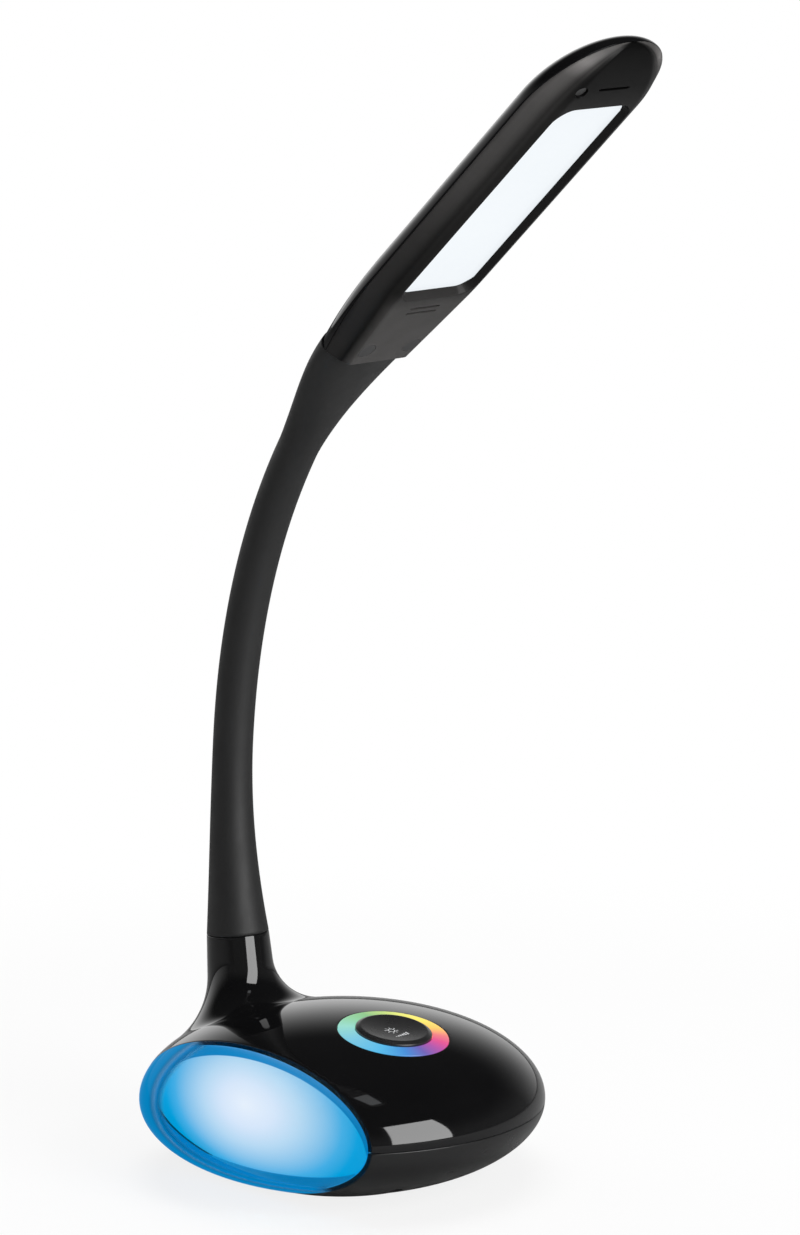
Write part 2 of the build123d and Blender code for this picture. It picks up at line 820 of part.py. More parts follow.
board_top = driver_board_z + board_thickness
driver_plane = Plane.XY.offset(board_top).shift_origin((*driver_board_centre, board_top))
with BuildPart() as driver_components:
    with BuildSketch(driver_plane):
        with Locations(transformer_offset):
            Rectangle(*transformer_size[:2])
    extrude(amount=transformer_size[2])
    with BuildSketch(driver_plane):
        with Locations(capacitor_offset):
            Circle(capacitor_radius)
    extrude(amount=capacitor_height)
    with BuildSketch(driver_plane):
        with Locations(chip_offset):
            Rectangle(*chip_size[:2])
        with Locations(header_offset):
            Rectangle(*header_size)
    extrude(amount=chip_size[2])
driver_components.part.label = "driver_components"

with BuildPart() as driver_board_screws:
    with BuildSketch(Plane.XY.offset(board_top)):
        with Locations(*driver_posts):
            Circle(base_screw_head - 0.2)
    extrude(amount=small_head_height)
    with BuildSketch(Plane.XY.offset(board_top)):
        with Locations(*driver_posts):
            Circle(base_screw_radius - 0.2)
    extrude(amount=-board_thickness - driver_screw_depth)
driver_board_screws.part.label = "driver_board_screws"

with BuildPart() as base_screws:
    with BuildSketch(Plane.XY.offset(base_screw_seat)):
        with Locations(*base_screw_spots):
            Circle(base_screw_head)
    extrude(amount=-base_screw_head_height)
    with BuildSketch(Plane.XY.offset(base_screw_seat)):
        with Locations(*base_screw_spots):
            Circle(base_screw_radius)
    extrude(amount=boss_top - base_screw_seat + base_screw_reach)
base_screws.part.label = "base_screws"

with BuildPart() as inlet_jack:
    with BuildSketch(Plane.YZ.offset(jack_face_x)):
        with Locations((0, jack_z)):
            Rectangle(jack_size[1], jack_size[2])
    extrude(amount=jack_size[0])
    with BuildSketch(Plane.YZ.offset(jack_face_x)):
        with Locations((0, jack_z)):
            Circle(jack_barrel)
    extrude(amount=-jack_barrel_length)
    with BuildSketch(Plane.YZ.offset(jack_end)):
        with Locations((0, jack_z)):
            Circle(jack_bore)
            Circle(jack_pin, mode=Mode.SUBTRACT)
    extrude(amount=jack_bore_depth, mode=Mode.SUBTRACT)
inlet_jack.part.label = "inlet_jack"

# ================================================================ neck
ferrule_body = neck_tube(-ferrule_below, ferrule_above, ferrule_radius)
ferrule_bore = neck_tube(-ferrule_below - 1, ferrule_above + 1, hose_radius + 0.05)
with BuildPart() as neck_ferrule:
    add(ferrule_body)
    add(ferrule_bore, mode=Mode.SUBTRACT)
neck_ferrule.part.label = "neck_ferrule"

with BuildPart() as neck_washer:
    with BuildSketch(collar_plane.offset(-collar_roof)):
        Circle(washer_radius)
        Circle(ferrule_radius + fit_gap, mode=Mode.SUBTRACT)
    extrude(amount=-washer_thickness)
neck_washer.part.label = "neck_washer"

with BuildPart() as neck_nut:
    with BuildSketch(collar_plane.offset(-collar_roof - washer_thickness)):
        RegularPolygon(nut_flat / 2, 6, major_radius=False)
        Circle(ferrule_radius + 0.05, mode=Mode.SUBTRACT)
    extrude(amount=-nut_height)
neck_nut.part.label = "neck_nut"

hose_below = ferrule_below - 2
hose = []
for k in range(neck_parts):
    first, last = k == 0, k == neck_parts - 1
    start = -hose_below if first else k * part_length + hinge_gap / 2
    end = neck_length + hose_into_head if last else (k + 1) * part_length - hinge_gap / 2
    stretch_body = neck_tube(start, end, hose_radius)
    stretch_bore = neck_tube(start - 1, end + 1, hose_bore)
    with BuildPart() as stretch:
        add(stretch_body)
        add(stretch_bore, mode=Mode.SUBTRACT)
    stretch.part.label = "hose_root" if first else "hose_tip" if last else f"hose_{k}"
    hose.append(stretch)

neck_lead = neck_tube(-hose_below - lead_past_hose, neck_length + hose_into_head + lead_past_hose,
                      lead_radius)
neck_lead.label = "neck_lead"


def sleeve_size(distance):
    """Half width and half height of the sleeve at a distance along the neck."""
    root = 1 - min(1.0, distance / sleeve_root_run)
    radius = sleeve_radius + (collar_radius - sleeve_radius) * root ** 2
    top = max(0.0, 1 - (neck_length - distance) / sleeve_top_run)
    eased = (top ** 2 * (3 - 2 * top) + top) / 2
    wide = radius + (sleeve_top_width - radius) * eased
    return wide, radius + (sleeve_top_height - radius) * top


sleeve_start = 0.05
sleeve_end = neck_length - 0.05
root_steps = [sleeve_start] + [sleeve_root_run * k / 6 for k in range(1, 7)]
top_begin = neck_length - sleeve_top_run
middle_steps = [sleeve_root_run + (top_begin - sleeve_root_run) * k / 5 for k in range(1, 6)]
top_steps = [top_begin + sleeve_top_run * k / 6 for k in range(1, 6)] + [sleeve_end]
sleeve_bore = neck_tube(-1, neck_length + 1, hose_radius + 0.3)
sleeve_socket = neck_tube(-1, ferrule_above + 0.5, ferrule_radius + fit_gap)
with BuildPart() as neck_sleeve:
    for distance in root_steps + middle_steps + top_steps:
        with BuildSketch(neck_plane(distance)):
            Ellipse(*sleeve_size(distance))
    loft()
    add(sleeve_bore, mode=Mode.SUBTRACT)
    add(sleeve_socket, mode=Mode.SUBTRACT)
neck_sleeve.part.label = "neck_sleeve"

# ================================================================ head shells
belly_level = -head_belly
panel_level = belly_level + panel_recess
panel_middle = panel_start + panel_length / 2
seat_wall = 1.2
stack_height = panel_thickness + guide_thickness + sheet_thickness
plate_level = panel_level + stack_height
boss_join = -2.0             # where the two halves of a head screw boss meet
plug_seat = belly_level + plug_thickness + 0.1
rear_screw_seat = plug_seat + plug_to_screw
tip_screw_seat = belly_level + tip_screw_depth
post_inside = 0.6

head_screws_at = [(spot, rear_screw_seat) for spot in plug_spots]
head_screws_at.append((tip_screw_spot, tip_screw_seat))
head_screw_spots = [spot for spot, _ in head_screws_at]

crown_skin = crown_form()
crown_hollow = crown_form(head_wall, head_wall)
crown_root = crown_form(head_wall * post_inside, head_wall * post_inside)
belly_skin = belly_form()
belly_hollow = belly_form(head_wall, head_wall)
belly_root = belly_form(head_wall * post_inside, head_wall * post_inside)
hose_passage = neck_tube(neck_length - 2, neck_length + head_wall + 3, hose_radius + 0.2)

with BuildPart() as crown_posts:
    with BuildSketch(head_plane.offset(boss_join + 0.1)):
        with Locations(*head_screw_spots):
            Circle(head_boss_radius - 0.4)
    extrude(amount=-boss_join - 0.1)
with BuildPart() as crown_post_tops:
    with BuildSketch(head_plane):
        with Locations(*head_screw_spots):
            Circle(head_boss_radius - 0.4)
    extrude(amount=2 * head_crown)
    add(crown_root, mode=Mode.INTERSECT)
with BuildPart() as head_top_housing:
    add(crown_skin)
    add(crown_hollow, mode=Mode.SUBTRACT)
    add(crown_post_tops.part)
    add(crown_posts.part)
    add(hose_passage, mode=Mode.SUBTRACT)
    with BuildSketch(head_plane.offset(boss_join)):
        with Locations(*head_screw_spots):
            Circle(head_screw_radius + 0.05)
    extrude(amount=head_pilot_depth, mode=Mode.SUBTRACT)
head_top_housing.part.label = "head_top_housing"

with BuildPart() as belly_bosses:
    with BuildSketch(head_plane.offset(belly_level - 1)):
        with Locations(*head_screw_spots):
            Circle(head_boss_radius + 1)
    extrude(amount=boss_join - belly_level + 1)
    # Frame that carries the panel, with a rim around its stack of sheets.
    with BuildSketch(head_plane.offset(belly_level)):
        with Locations((panel_middle, 0)):
            RectangleRounded(panel_length + 2 * (panel_seat + seat_wall),
                             panel_width + 2 * (panel_seat + seat_wall), panel_corner + 2)
    extrude(amount=plate_level - belly_level)
    with BuildSketch(head_plane.offset(panel_level)):
        with Locations((panel_middle, 0)):
            RectangleRounded(panel_length + 2 * panel_seat, panel_width + 2 * panel_seat,
                             panel_corner)
    extrude(amount=2 * stack_height, mode=Mode.SUBTRACT)
    add(belly_root, mode=Mode.INTERSECT)
# A tapered crease along each flank, from the rear edge to beside the panel's corner.
crease_floor = belly_form(crease_depth)
with BuildPart() as creases:
    with BuildSketch(head_plane.offset(belly_level - 1)):
        for side in (-1, 1):
            near, far_off = crease_start - crease_width / 2, crease_start + crease_width / 2
            bow, bow_y = crease_middle
            tip = (crease_tip[0], side * crease_tip[1])
            with BuildLine():
                ThreePointArc((-1, side * near), (bow, side * (bow_y - crease_width / 4)), tip)
                ThreePointArc(tip, (bow, side * (bow_y + crease_width / 4)), (-1, side * far_off))
                Line((-1, side * far_off), (-1, side * near))
            make_face()
    extrude(amount=head_belly)
    add(crease_floor, mode=Mode.SUBTRACT)
with BuildPart() as head_bottom_shell:
    add(belly_skin)
    add(belly_hollow, mode=Mode.SUBTRACT)
    add(belly_bosses.part)
    add(creases.part, mode=Mode.SUBTRACT)
    add(hose_passage, mode=Mode.SUBTRACT)
    # Panel opening, wider towards the outside.
    with BuildSketch(head_plane.offset(panel_level)):
        with Locations((panel_middle, 0)):
            RectangleRounded(panel_length, panel_width, panel_corner)
    extrude(amount=-panel_recess - 2, taper=-panel_draft, mode=Mode.SUBTRACT)
    # Vent slots by the neck and a blind groove at the tip.
    with BuildSketch(head_plane.offset(belly_level - 1)):
        with Locations(*[(slot_start + k * slot_pitch, 0) for k in range(2)]):
            SlotOverall(slot_length, slot_width, rotation=90)
    extrude(amount=head_wall + 2, mode=Mode.SUBTRACT)
    with BuildSketch(head_plane.offset(belly_level - 1)):
        with Locations((tip_slot_start, 0)):
            SlotOverall(slot_length, slot_width, rotation=90)
    extrude(amount=1 + tip_slot_depth, mode=Mode.SUBTRACT)
    # Screw holes: plugged ones at the rear and an open one at the tip.
    with BuildSketch(head_plane.offset(belly_level - 1)):
        with Locations(*plug_spots):
            Circle(plug_radius + 0.1)
    extrude(amount=plug_seat - belly_level + 1, mode=Mode.SUBTRACT)
    for spot, seat in head_screws_at:
        with BuildSketch(head_plane.offset(belly_level - 1)):
            with Locations(spot):
                Circle(head_screw_head + 0.4)
        extrude(amount=seat - belly_level + 1, mode=Mode.SUBTRACT)
    with BuildSketch(head_plane.offset(belly_level)):
        with Locations(*head_screw_spots):
            Circle(head_screw_radius + fit_gap)
    extrude(amount=head_belly, mode=Mode.SUBTRACT)
head_bottom_shell.part.label = "head_bottom_shell"

# ================================================================ inside the head
with BuildPart() as panel_diffuser:
    with BuildSketch(head_plane.offset(panel_level)):
        with Locations((panel_middle, 0)):
            RectangleRounded(panel_length + 2 * (panel_seat - sheet_slack),
                             panel_width + 2 * (panel_seat - sheet_slack), panel_corner)
    extrude(amount=panel_thickness)
panel_diffuser.part.label = "panel_diffuser"

guide_level = panel_level + panel_thickness
strip_back = panel_width / 2 + panel_seat - 0.3      # outer face of the LED strip
strip_middle = strip_back - strip_thickness / 2
chip_middle = strip_back - strip_thickness - chip_depth / 2
with BuildPart() as light_guide:
    with BuildSketch(head_plane.offset(guide_level)):
        with Locations((panel_middle, -guide_shift)):
            RectangleRounded(panel_length + 2 * guide_margin, panel_width + 2 * sheet_slack,
                             panel_corner - 2)
    extrude(amount=guide_thickness)
light_guide.part.label = "light_guide"

with BuildPart() as led_strip:
    with BuildSketch(head_plane.offset(guide_level)):
        with Locations((panel_middle, strip_middle)):
            Rectangle(panel_length - 2 * strip_short, strip_thickness)
    extrude(amount=guide_thickness)
led_strip.part.label = "led_strip"

chip_pitch = (panel_length - 2 * chip_end) / (led_chip_count - 1)
with BuildPart() as led_chips:
    with BuildSketch(head_plane.offset(guide_level + chip_inset)):
        with Locations((panel_middle, chip_middle)):
            with GridLocations(chip_pitch, 1, led_chip_count, 1):
                Rectangle(chip_length, chip_depth)
    extrude(amount=guide_thickness - 2 * chip_inset)
led_chips.part.label = "led_chips"

sheet_level = guide_level + guide_thickness
with BuildPart() as reflector_sheet:
    with BuildSketch(head_plane.offset(sheet_level)):
        with Locations((panel_middle, 0)):
            RectangleRounded(panel_length + 2 * reflector_margin,
                             panel_width + 2 * reflector_margin, panel_corner - 1)
    extrude(amount=sheet_thickness)
reflector_sheet.part.label = "reflector_sheet"

with BuildPart() as backing_plate:
    with BuildSketch(head_plane.offset(plate_level)):
        with Locations((panel_middle, 0)):
            RectangleRounded(panel_length + 2 * (panel_seat + seat_wall),
                             panel_width + 2 * (panel_seat + seat_wall), panel_corner)
    extrude(amount=plate_thickness)
backing_plate.part.label = "backing_plate"

clamp_hole = neck_tube(neck_length, neck_length + hose_into_head + 2, hose_radius + 0.05)
grub_spots = [(clamp_start + clamp_length * share, 0) for share in (0.25, 0.75)]
with BuildPart() as head_clamp:
    with BuildSketch(head_plane.offset(belly_level + head_wall)):
        with Locations((clamp_start + clamp_length / 2, 0)):
            Rectangle(clamp_length, clamp_width)
    extrude(amount=clamp_top - belly_level - head_wall)
    add(clamp_hole, mode=Mode.SUBTRACT)
    with BuildSketch(head_plane.offset(neck_drop)):
        with Locations(*grub_spots):
            Circle(grub_radius + grub_gap)
    extrude(amount=clamp_top, mode=Mode.SUBTRACT)
head_clamp.part.label = "head_clamp"

with BuildPart() as clamp_screws:
    with BuildSketch(head_plane.offset(neck_drop + hose_radius + 0.05)):
        with Locations(*grub_spots):
            Circle(grub_radius)
    extrude(amount=clamp_top - neck_drop - hose_radius - 0.05)
clamp_screws.part.label = "clamp_screws"

with BuildPart() as head_screws:
    for spot, seat in head_screws_at:
        with BuildSketch(head_plane.offset(seat)):
            with Locations(spot):
                Circle(head_screw_head)
        extrude(amount=-head_screw_head_height)
        with BuildSketch(head_plane.offset(seat)):
            with Locations(spot):
                Circle(head_screw_radius)
        extrude(amount=boss_join - seat + head_screw_reach)
head_screws.part.label = "head_screws"

with BuildPart() as screw_plugs:
    with BuildSketch(head_plane.offset(plug_seat)):
        with Locations(*plug_spots):
            Circle(plug_radius)
    extrude(amount=-plug_thickness)
screw_plugs.part.label = "screw_plugs"

# ================================================================ output
builders = [
    base_bottom_shell, base_top_shell, window_lens, window_diffuser, window_tray, rgb_board,
    rgb_leds, colour_ring, dimmer_button, switch_plunger, tact_switch, control_board, ring_leds,
    control_board_screws, rubber_pad, ballast_plate, ballast_screws, driver_board,
    driver_components, driver_board_screws, base_screws, inlet_jack, neck_ferrule, neck_washer,
    neck_nut, *hose, neck_sleeve, head_top_housing, head_bottom_shell, panel_diffuser,
    light_guide, led_strip, led_chips, reflector_sheet, backing_plate, head_clamp, clamp_screws,
    head_screws, screw_plugs,
]
pieces = [builder.part for builder in builders] + [neck_lead]
os.makedirs("parts", exist_ok=True)
for piece in pieces:
    export_step(piece, f"parts/{piece.label}.step")
print(len(pieces), "pieces")
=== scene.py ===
"""Looks of the gooseneck desk lamp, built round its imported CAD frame.

Lengths are millimetres until a mesh is made, in the frame's own axes: +X is the way the head
points, +Y the lamp's left and +Z up. The lit window faces -Y.
"""
from math import asin, atan2, cos, pi, radians, sin, sqrt, tan
from types import SimpleNamespace

import bpy
import numpy as np
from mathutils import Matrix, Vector


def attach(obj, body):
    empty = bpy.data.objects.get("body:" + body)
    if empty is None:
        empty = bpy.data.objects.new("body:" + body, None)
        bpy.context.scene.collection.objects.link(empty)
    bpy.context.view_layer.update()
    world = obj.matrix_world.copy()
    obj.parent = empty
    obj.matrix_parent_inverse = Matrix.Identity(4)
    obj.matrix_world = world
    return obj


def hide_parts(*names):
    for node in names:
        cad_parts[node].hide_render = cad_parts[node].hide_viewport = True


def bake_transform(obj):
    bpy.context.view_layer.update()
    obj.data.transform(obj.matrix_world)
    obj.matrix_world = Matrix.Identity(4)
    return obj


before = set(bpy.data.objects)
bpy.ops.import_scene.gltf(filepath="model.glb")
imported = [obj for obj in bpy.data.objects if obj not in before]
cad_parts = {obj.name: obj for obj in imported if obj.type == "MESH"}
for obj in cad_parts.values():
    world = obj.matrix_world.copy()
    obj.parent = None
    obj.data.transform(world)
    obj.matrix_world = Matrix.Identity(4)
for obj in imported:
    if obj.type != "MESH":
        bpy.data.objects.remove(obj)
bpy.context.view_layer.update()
MM = 0.001

# ------------ sizes shared with the CAD
base_radius, waist_z, base_rise, base_drop = 90.0, 34.0, 39.3, 37.3
underside_z, seam_z, window_y = 2.0, 33.0, -52.0
base_wall, lens_wall = 2.5, 3.0
ring_x, ring_radius, ring_bore, ring_proud, ring_depth = 33.0, 24.5, 17.3, 0.2, 3.6
button_radius, button_rise, button_dish, button_bevel = 17.0, 1.1, 0.9, 2.0
button_skirt, button_foot, stem_radius, stem_foot = 1.6, -4.8, 3.0, -4.5
pad_radius, pad_top = 42.0, 2.8
screw_circle, screw_turns = 66.5, (23.0, -23.0, 78.0, 133.0)
screw_hole, screw_seat = 3.0, 14.0
jack_z, jack_recess, jack_hole, jack_floor_x, jack_end_x = 27.0, 6.2, 4.35, -87.15, -83.0
root_x, root_z, root_lean, head_pitch = -68.1, 96.6, -6.0, 42.04
neck_length, neck_bend_power, neck_parts = 300.9, 1.363, 8
collar_radius, collar_taper, collar_flare = 14.0, 0.06, 14.0
sleeve_radius, sleeve_root_run, sleeve_top_run = 9.0, 88.0, 66.0
sleeve_top_width, sleeve_top_height, lead_radius = 25.5, 10.3, 1.8
lead_below, lead_above = 34.0, 32.0
head_length, head_rear_width, head_width, head_tip_width = 210.5, 25.5, 35.5, 36.5
head_taper_run, head_nose, head_crown, head_belly = 60.0, 38.0, 13.4, 8.7
neck_drop, belly_flat, belly_flat_rear, head_wall = 2.3, 22.0, 16.5, 2.0
panel_start, panel_length, panel_width = 47.4, 128.3, 41.0
panel_corner, panel_recess, panel_draft = 7.0, 3.8, 22.0
slot_length, slot_width, slot_places, tip_slot_place = 18.0, 1.3, (35.7, 39.1), 189.0
plug_spots, plug_hole, plug_deep = ((9.6, 13.2), (9.6, -13.2)), 4.3, 1.6
tip_screw_spot, tip_screw_hole, tip_screw_deep = (188.2, -18.4), 2.9, 3.3

# ------------ sizes of the scene alone
seam_gap, hole_gap = 0.05, 0.15  # half the gap between pieces that meet, and round what fits a hole
rear_flare = 49.0  # of the collar's fillet at its back; in front it is as in the CAD
crease_share, crease_height = 0.6, 0.8  # of the break along each flank of the head
lit_x, lit_z, lit_half = -2.3, 27.5, 68.4  # middle and half length of the lit area
lit_rise, lit_drop, lit_tilt, lit_pivot = 30.6, 21.0, 0.07, -23.0  # its top and its sloping foot
lit_set_back, lit_bulge = 4.5, 3.0  # of the lit area behind the window's plane
hot_spot = (-9.0, window_y, 38.0)  # brightest point of the glow behind the lens
hot_left, hot_right, hot_high = 48.0, 60.0, 31.0  # how far the glow spreads from it
lens_clear_way = (0.7, -0.7, 0.2)  # the side of the lens that is clear
lens_fade = (22.0, 30.0)  # where it clears, as distances from the base's middle
sign_spot, sign_radii, sign_rays = (0.4, -1.9), (1.35, 1.7), (2.2, 3.15)  # of the small sun
bar_foot, bar_start, bar_pitch, bar_width = 7.4, -5.6, 1.45, 0.8  # of the ramp beside it
bar_height, bar_growth, bar_slope = 0.45, 0.35, 0.2
panel_rim = 4.0  # width of the panel's duller rim

UP = np.array([0.0, 0.0, 1.0])
FAR = 99.0  # a measure that takes a point out of a cut's reach


# ------------ sheets: meshes as arrays
def unit(vectors):
    """The same vectors at length one."""
    return vectors / np.maximum(np.linalg.norm(vectors, axis=-1, keepdims=True), 1e-12)


def grid(rows, closed=False):
    """Sheet of quads through rows of points; closed joins the ends of each row."""
    rows = np.asarray(rows, float)
    count, across = rows.shape[:2]
    faces = []
    for i in range(count - 1):
        for j in range(across if closed else across - 1):
            k = (j + 1) % across
            faces.append((i * across + j, i * across + k, (i + 1) * across + k, (i + 1) * across + j))
    return rows.reshape(-1, 3), faces


def area_of(corner):
    """Twice the area of a face, as a vector along its normal."""
    return np.cross(corner[1:-1] - corner[0], corner[2:] - corner[0]).sum(0)


def outward(sheet, inside):
    """The sheet with its faces turned away from a point."""
    points, faces = sheet
    corners = (points[list(face)] for face in faces)
    total = sum(area_of(corner) @ (corner.mean(0) - inside) for corner in corners)
    return sheet if total > 0 else (points, [tuple(face[::-1]) for face in faces])


def clip(sheet, keep):
    """Cuts a sheet along the line where keep is zero and drops what lies below zero."""
    points, faces = sheet
    above = (keep(points) >= 0).tolist()
    pairs = {}
    for face in faces:
        for a, b in zip(face, face[1:] + face[:1]):
            if above[a] != above[b]:
                pairs.setdefault((min(a, b), max(a, b)), len(points) + len(pairs))
    if pairs:
        ends = np.array(list(pairs))
        first, last = points[ends[:, 0]], points[ends[:, 1]]
        start_kept = np.array(above)[ends[:, 0]]
        low, high = np.zeros(len(ends)), np.ones(len(ends))
        for _ in range(24):
            middle = (low + high) / 2
            kept = keep(first + middle[:, None] * (last - first)) >= 0
            low = np.where(kept == start_kept, middle, low)
            high = np.where(kept == start_kept, high, middle)
        points = np.vstack([points, first + ((low + high) / 2)[:, None] * (last - first)])
    kept_faces = []
    for face in faces:
        inside = [above[i] for i in face]
        if all(inside):
            kept_faces.append(face)
        elif any(inside):
            around = []
            for a, b in zip(face, face[1:] + face[:1]):
                if above[a]:
                    around.append(a)
                if above[a] != above[b]:
                    around.append(pairs[(min(a, b), max(a, b))])
            kept_faces.append(tuple(around))
    used = sorted({i for face in kept_faces for i in face})
    place = {old: new for new, old in enumerate(used)}
    return points[used], [tuple(place[i] for i in face) for face in kept_faces]


def open_loops(faces):
    """Closed runs of points along the open edges of a sheet."""
    edges = {(a, b) for face in faces for a, b in zip(face, face[1:] + face[:1])}
    onward = {a: b for a, b in edges if (b, a) not in edges}
    loops = []
    while onward:
        first, here = onward.popitem()
        loop = [first]
        while here != first:
            loop.append(here)
            here = onward.pop(here)
        loops.append(loop)
    return loops


def point_normals(points, faces):
    """Normals at the points of a sheet, weighted by the area of the faces round them."""
    normals = np.zeros_like(points)
    for face in faces:
        normals[list(face)] += area_of(points[list(face)])
    return unit(normals)


def slope_of(keep, points):
    """Direction and rate at which keep grows."""
    step = 0.01
    parts = [(keep(points + step * axis) - keep(points - step * axis)) / (2 * step) for axis in np.eye(3)]
    return np.stack(parts, -1)


def band(before, after):
    """Faces between two loops of the same length, on the far side of the first."""
    length = len(before)
    return [(before[(j + 1) % length], before[j], after[j], after[(j + 1) % length]) for j in range(length)]


def cut(keep, edge=0.4, draft=0.0, depth=None, blind=False, bore=None, steps=()):
    """How a sheet ends where keep is zero.

    The edge is rounded over by its radius. The wall behind it goes down by a depth, leaning by a
    draft in degrees; a blind one ends in a floor. A round hole may give its bore axis, as a point
    and a direction, and steps of radius and level along that axis.
    """
    return SimpleNamespace(keep=keep, edge=edge, draft=draft, depth=depth, blind=blind, bore=bore,
                           steps=steps)


def off_axis(points, origin, way):
    """Distance from a line."""
    across = np.asarray(points) - origin
    return np.linalg.norm(across - (across @ way)[..., None] * way, axis=-1)


def round_hole(origin, way, radius, edge, level, blind=True):
    """Cut of a round hole about an axis, down to a level along it."""
    return cut(lambda p: off_axis(p, origin, way) - radius, edge, blind=blind, bore=(origin, way),
               steps=((radius, level),))


def shell(sheet, wall, cuts, bend_steps=4):
    """Closed shell: the sheet cut open, its edges rounded over, and an inside at a wall's distance."""
    for one in cuts:
        sheet = clip(sheet, lambda p, one=one: one.keep(p) - one.edge)
    points, faces = sheet
    normals = point_normals(points, faces)
    count = len(points)
    made, made_faces = [points, points - wall * normals], list(faces)
    made_faces += [tuple(i + count for i in face[::-1]) for face in faces]
    total = 2 * count
    for loop in open_loops(faces):
        at, normal = points[loop], normals[loop]
        one = min(cuts, key=lambda c: np.abs(c.keep(at) - c.edge).mean())
        slope = slope_of(one.keep, at)
        facing = unit(slope)
        tilt = (normal * facing).sum(-1, keepdims=True)
        out = unit(tilt * normal - facing)
        fall = np.maximum(-(slope * out).sum(-1, keepdims=True), 0.25)
        corner = at + out * one.edge / fall
        inward = unit(tilt * facing - normal)
        wall_way = inward + out * tan(radians(one.draft))
        end = corner + wall_way * one.edge
        rings = []
        for k in range(1, bend_steps + 1):
            t = k / bend_steps
            rings.append((1 - t) ** 2 * at + 2 * t * (1 - t) * corner + t ** 2 * end)
        if one.bore is None:
            rings.append(corner + wall_way * (one.depth or wall))
        else:
            start, way = (np.asarray(v, float) for v in one.bore)
            across = corner - start
            across = unit(across - (across @ way)[:, None] * way)
            for radius, level in one.steps:
                rings.append(start + level * way + radius * across)
        before = loop
        for ring in rings:
            made.append(ring)
            now = list(range(total, total + len(loop)))
            total += len(loop)
            made_faces += band(before, now)
            before = now
        inner = [i + count for i in loop]
        if one.blind:
            made_faces += [tuple(before[::-1]), tuple(inner)]
        else:
            made_faces += band(before, inner)
    return np.vstack(made), made_faces


def join(*sheets):
    """Several sheets as one."""
    points, faces, first = [], [], 0
    for some_points, some_faces in sheets:
        points.append(some_points)
        faces += [tuple(i + first for i in face) for face in some_faces]
        first += len(some_points)
    return np.vstack(points), faces


def make(name, sheet, material, smooth=32.0):
    """Blender object from a sheet in millimetres, shaded smooth up to an angle in degrees."""
    points, faces = sheet
    mesh = bpy.data.meshes.new(name)
    mesh.from_pydata((np.asarray(points) * MM).tolist(), [], faces)
    mesh.validate()
    mesh.polygons.foreach_set("use_smooth", [True] * len(mesh.polygons))
    mesh.set_sharp_from_angle(angle=radians(smooth))
    mesh.materials.append(material)
    piece = bpy.data.objects.new(name, mesh)
    bpy.context.scene.collection.objects.link(piece)
    return piece


def placed(points, origin, x_way, z_way):
    """Points of a local frame in the lamp's frame."""
    x_way, z_way = np.asarray(x_way, float), np.asarray(z_way, float)
    turn = np.stack([x_way, np.cross(z_way, x_way), z_way])
    return np.asarray(points, float) @ turn + np.asarray(origin, float)


def full_turn(steps):
    """Angles of a full turn."""
    return np.linspace(0, 2 * pi, steps, endpoint=False)


def tilted(angle):
    """Front and up of a plane that leans forward by an angle in radians."""
    return np.array([cos(angle), 0, -sin(angle)]), np.array([sin(angle), 0, cos(angle)])


def lathe(profile, origin, x_way, z_way, steps=144):
    """Sheet turned round a local Z axis from a run of (radius, height) pairs."""
    turn = full_turn(steps)
    rows = [np.stack([r * np.cos(turn), r * np.sin(turn), np.full(steps, h)], -1) for r, h in profile]
    points, faces = grid(rows, closed=True)
    return placed(points, origin, x_way, z_way), faces


def bend(first, corner, last, steps=6):
    """Rounded corner between two points, as a list."""
    first, corner, last = (np.asarray(v, float) for v in (first, corner, last))
    return [tuple((1 - t) ** 2 * first + 2 * t * (1 - t) * corner + t ** 2 * last)
            for t in np.linspace(0, 1, steps)]


# ------------ materials
def fill(node, inputs):
    """Fills a node's inputs: outputs of other nodes are linked, and what is the same all over is set."""
    for name, value in inputs.items():
        if isinstance(value, bpy.types.NodeSocket):
            node.id_data.links.new(value, node.inputs[name])
        else:
            node.inputs[name].default_value = value


def add_node(near, kind, inputs, **settings):
    """New node in the tree of a socket, with its settings made and its inputs filled."""
    node = near.id_data.nodes.new(f"ShaderNode{kind}")
    for name, value in settings.items():
        setattr(node, name, value)
    fill(node, inputs)
    return node


def node_material(name):
    """Node material, with its shader and its object coordinates."""
    material = bpy.data.materials.new(name)
    material.use_nodes = True
    shader = material.node_tree.nodes["Principled BSDF"]
    return material, shader, add_node(shader, "TexCoord", {}).outputs["Object"]


def noise(place, scale, detail=3.0):
    """Cloudy value at a scale in cycles per metre."""
    return add_node(place, "TexNoise", {"Vector": place, "Scale": scale, "Detail": detail}).outputs["Fac"]


def remap(value, low, high, start=0.3, end=0.7, ease="LINEAR"):
    """A value's span from start to end as one from low to high."""
    inputs = {"Value": value, "From Min": start, "From Max": end, "To Min": low, "To Max": high}
    return add_node(value, "MapRange", inputs, interpolation_type=ease).outputs["Result"]


def two_colours(share, dark, light):
    """Colour between two, by a share."""
    return add_node(share, "Mix", {0: share, 6: (*dark, 1), 7: (*light, 1)}, data_type="RGBA").outputs[2]


def relief(shader, height, depth):
    """Small relief from a height, with its depth in micrometres."""
    bump = add_node(height, "Bump", {"Height": height, "Distance": depth * MM * MM})
    fill(shader, {"Normal": bump.outputs["Normal"]})


def along(place, spot, way):
    """Distance in metres from a spot along a direction."""
    away = add_node(place, "VectorMath", {0: place, 1: tuple(np.asarray(spot) * MM)}, operation="SUBTRACT")
    dot = add_node(place, "VectorMath", {0: away.outputs[0], 1: tuple(way)}, operation="DOT_PRODUCT")
    return dot.outputs["Value"]


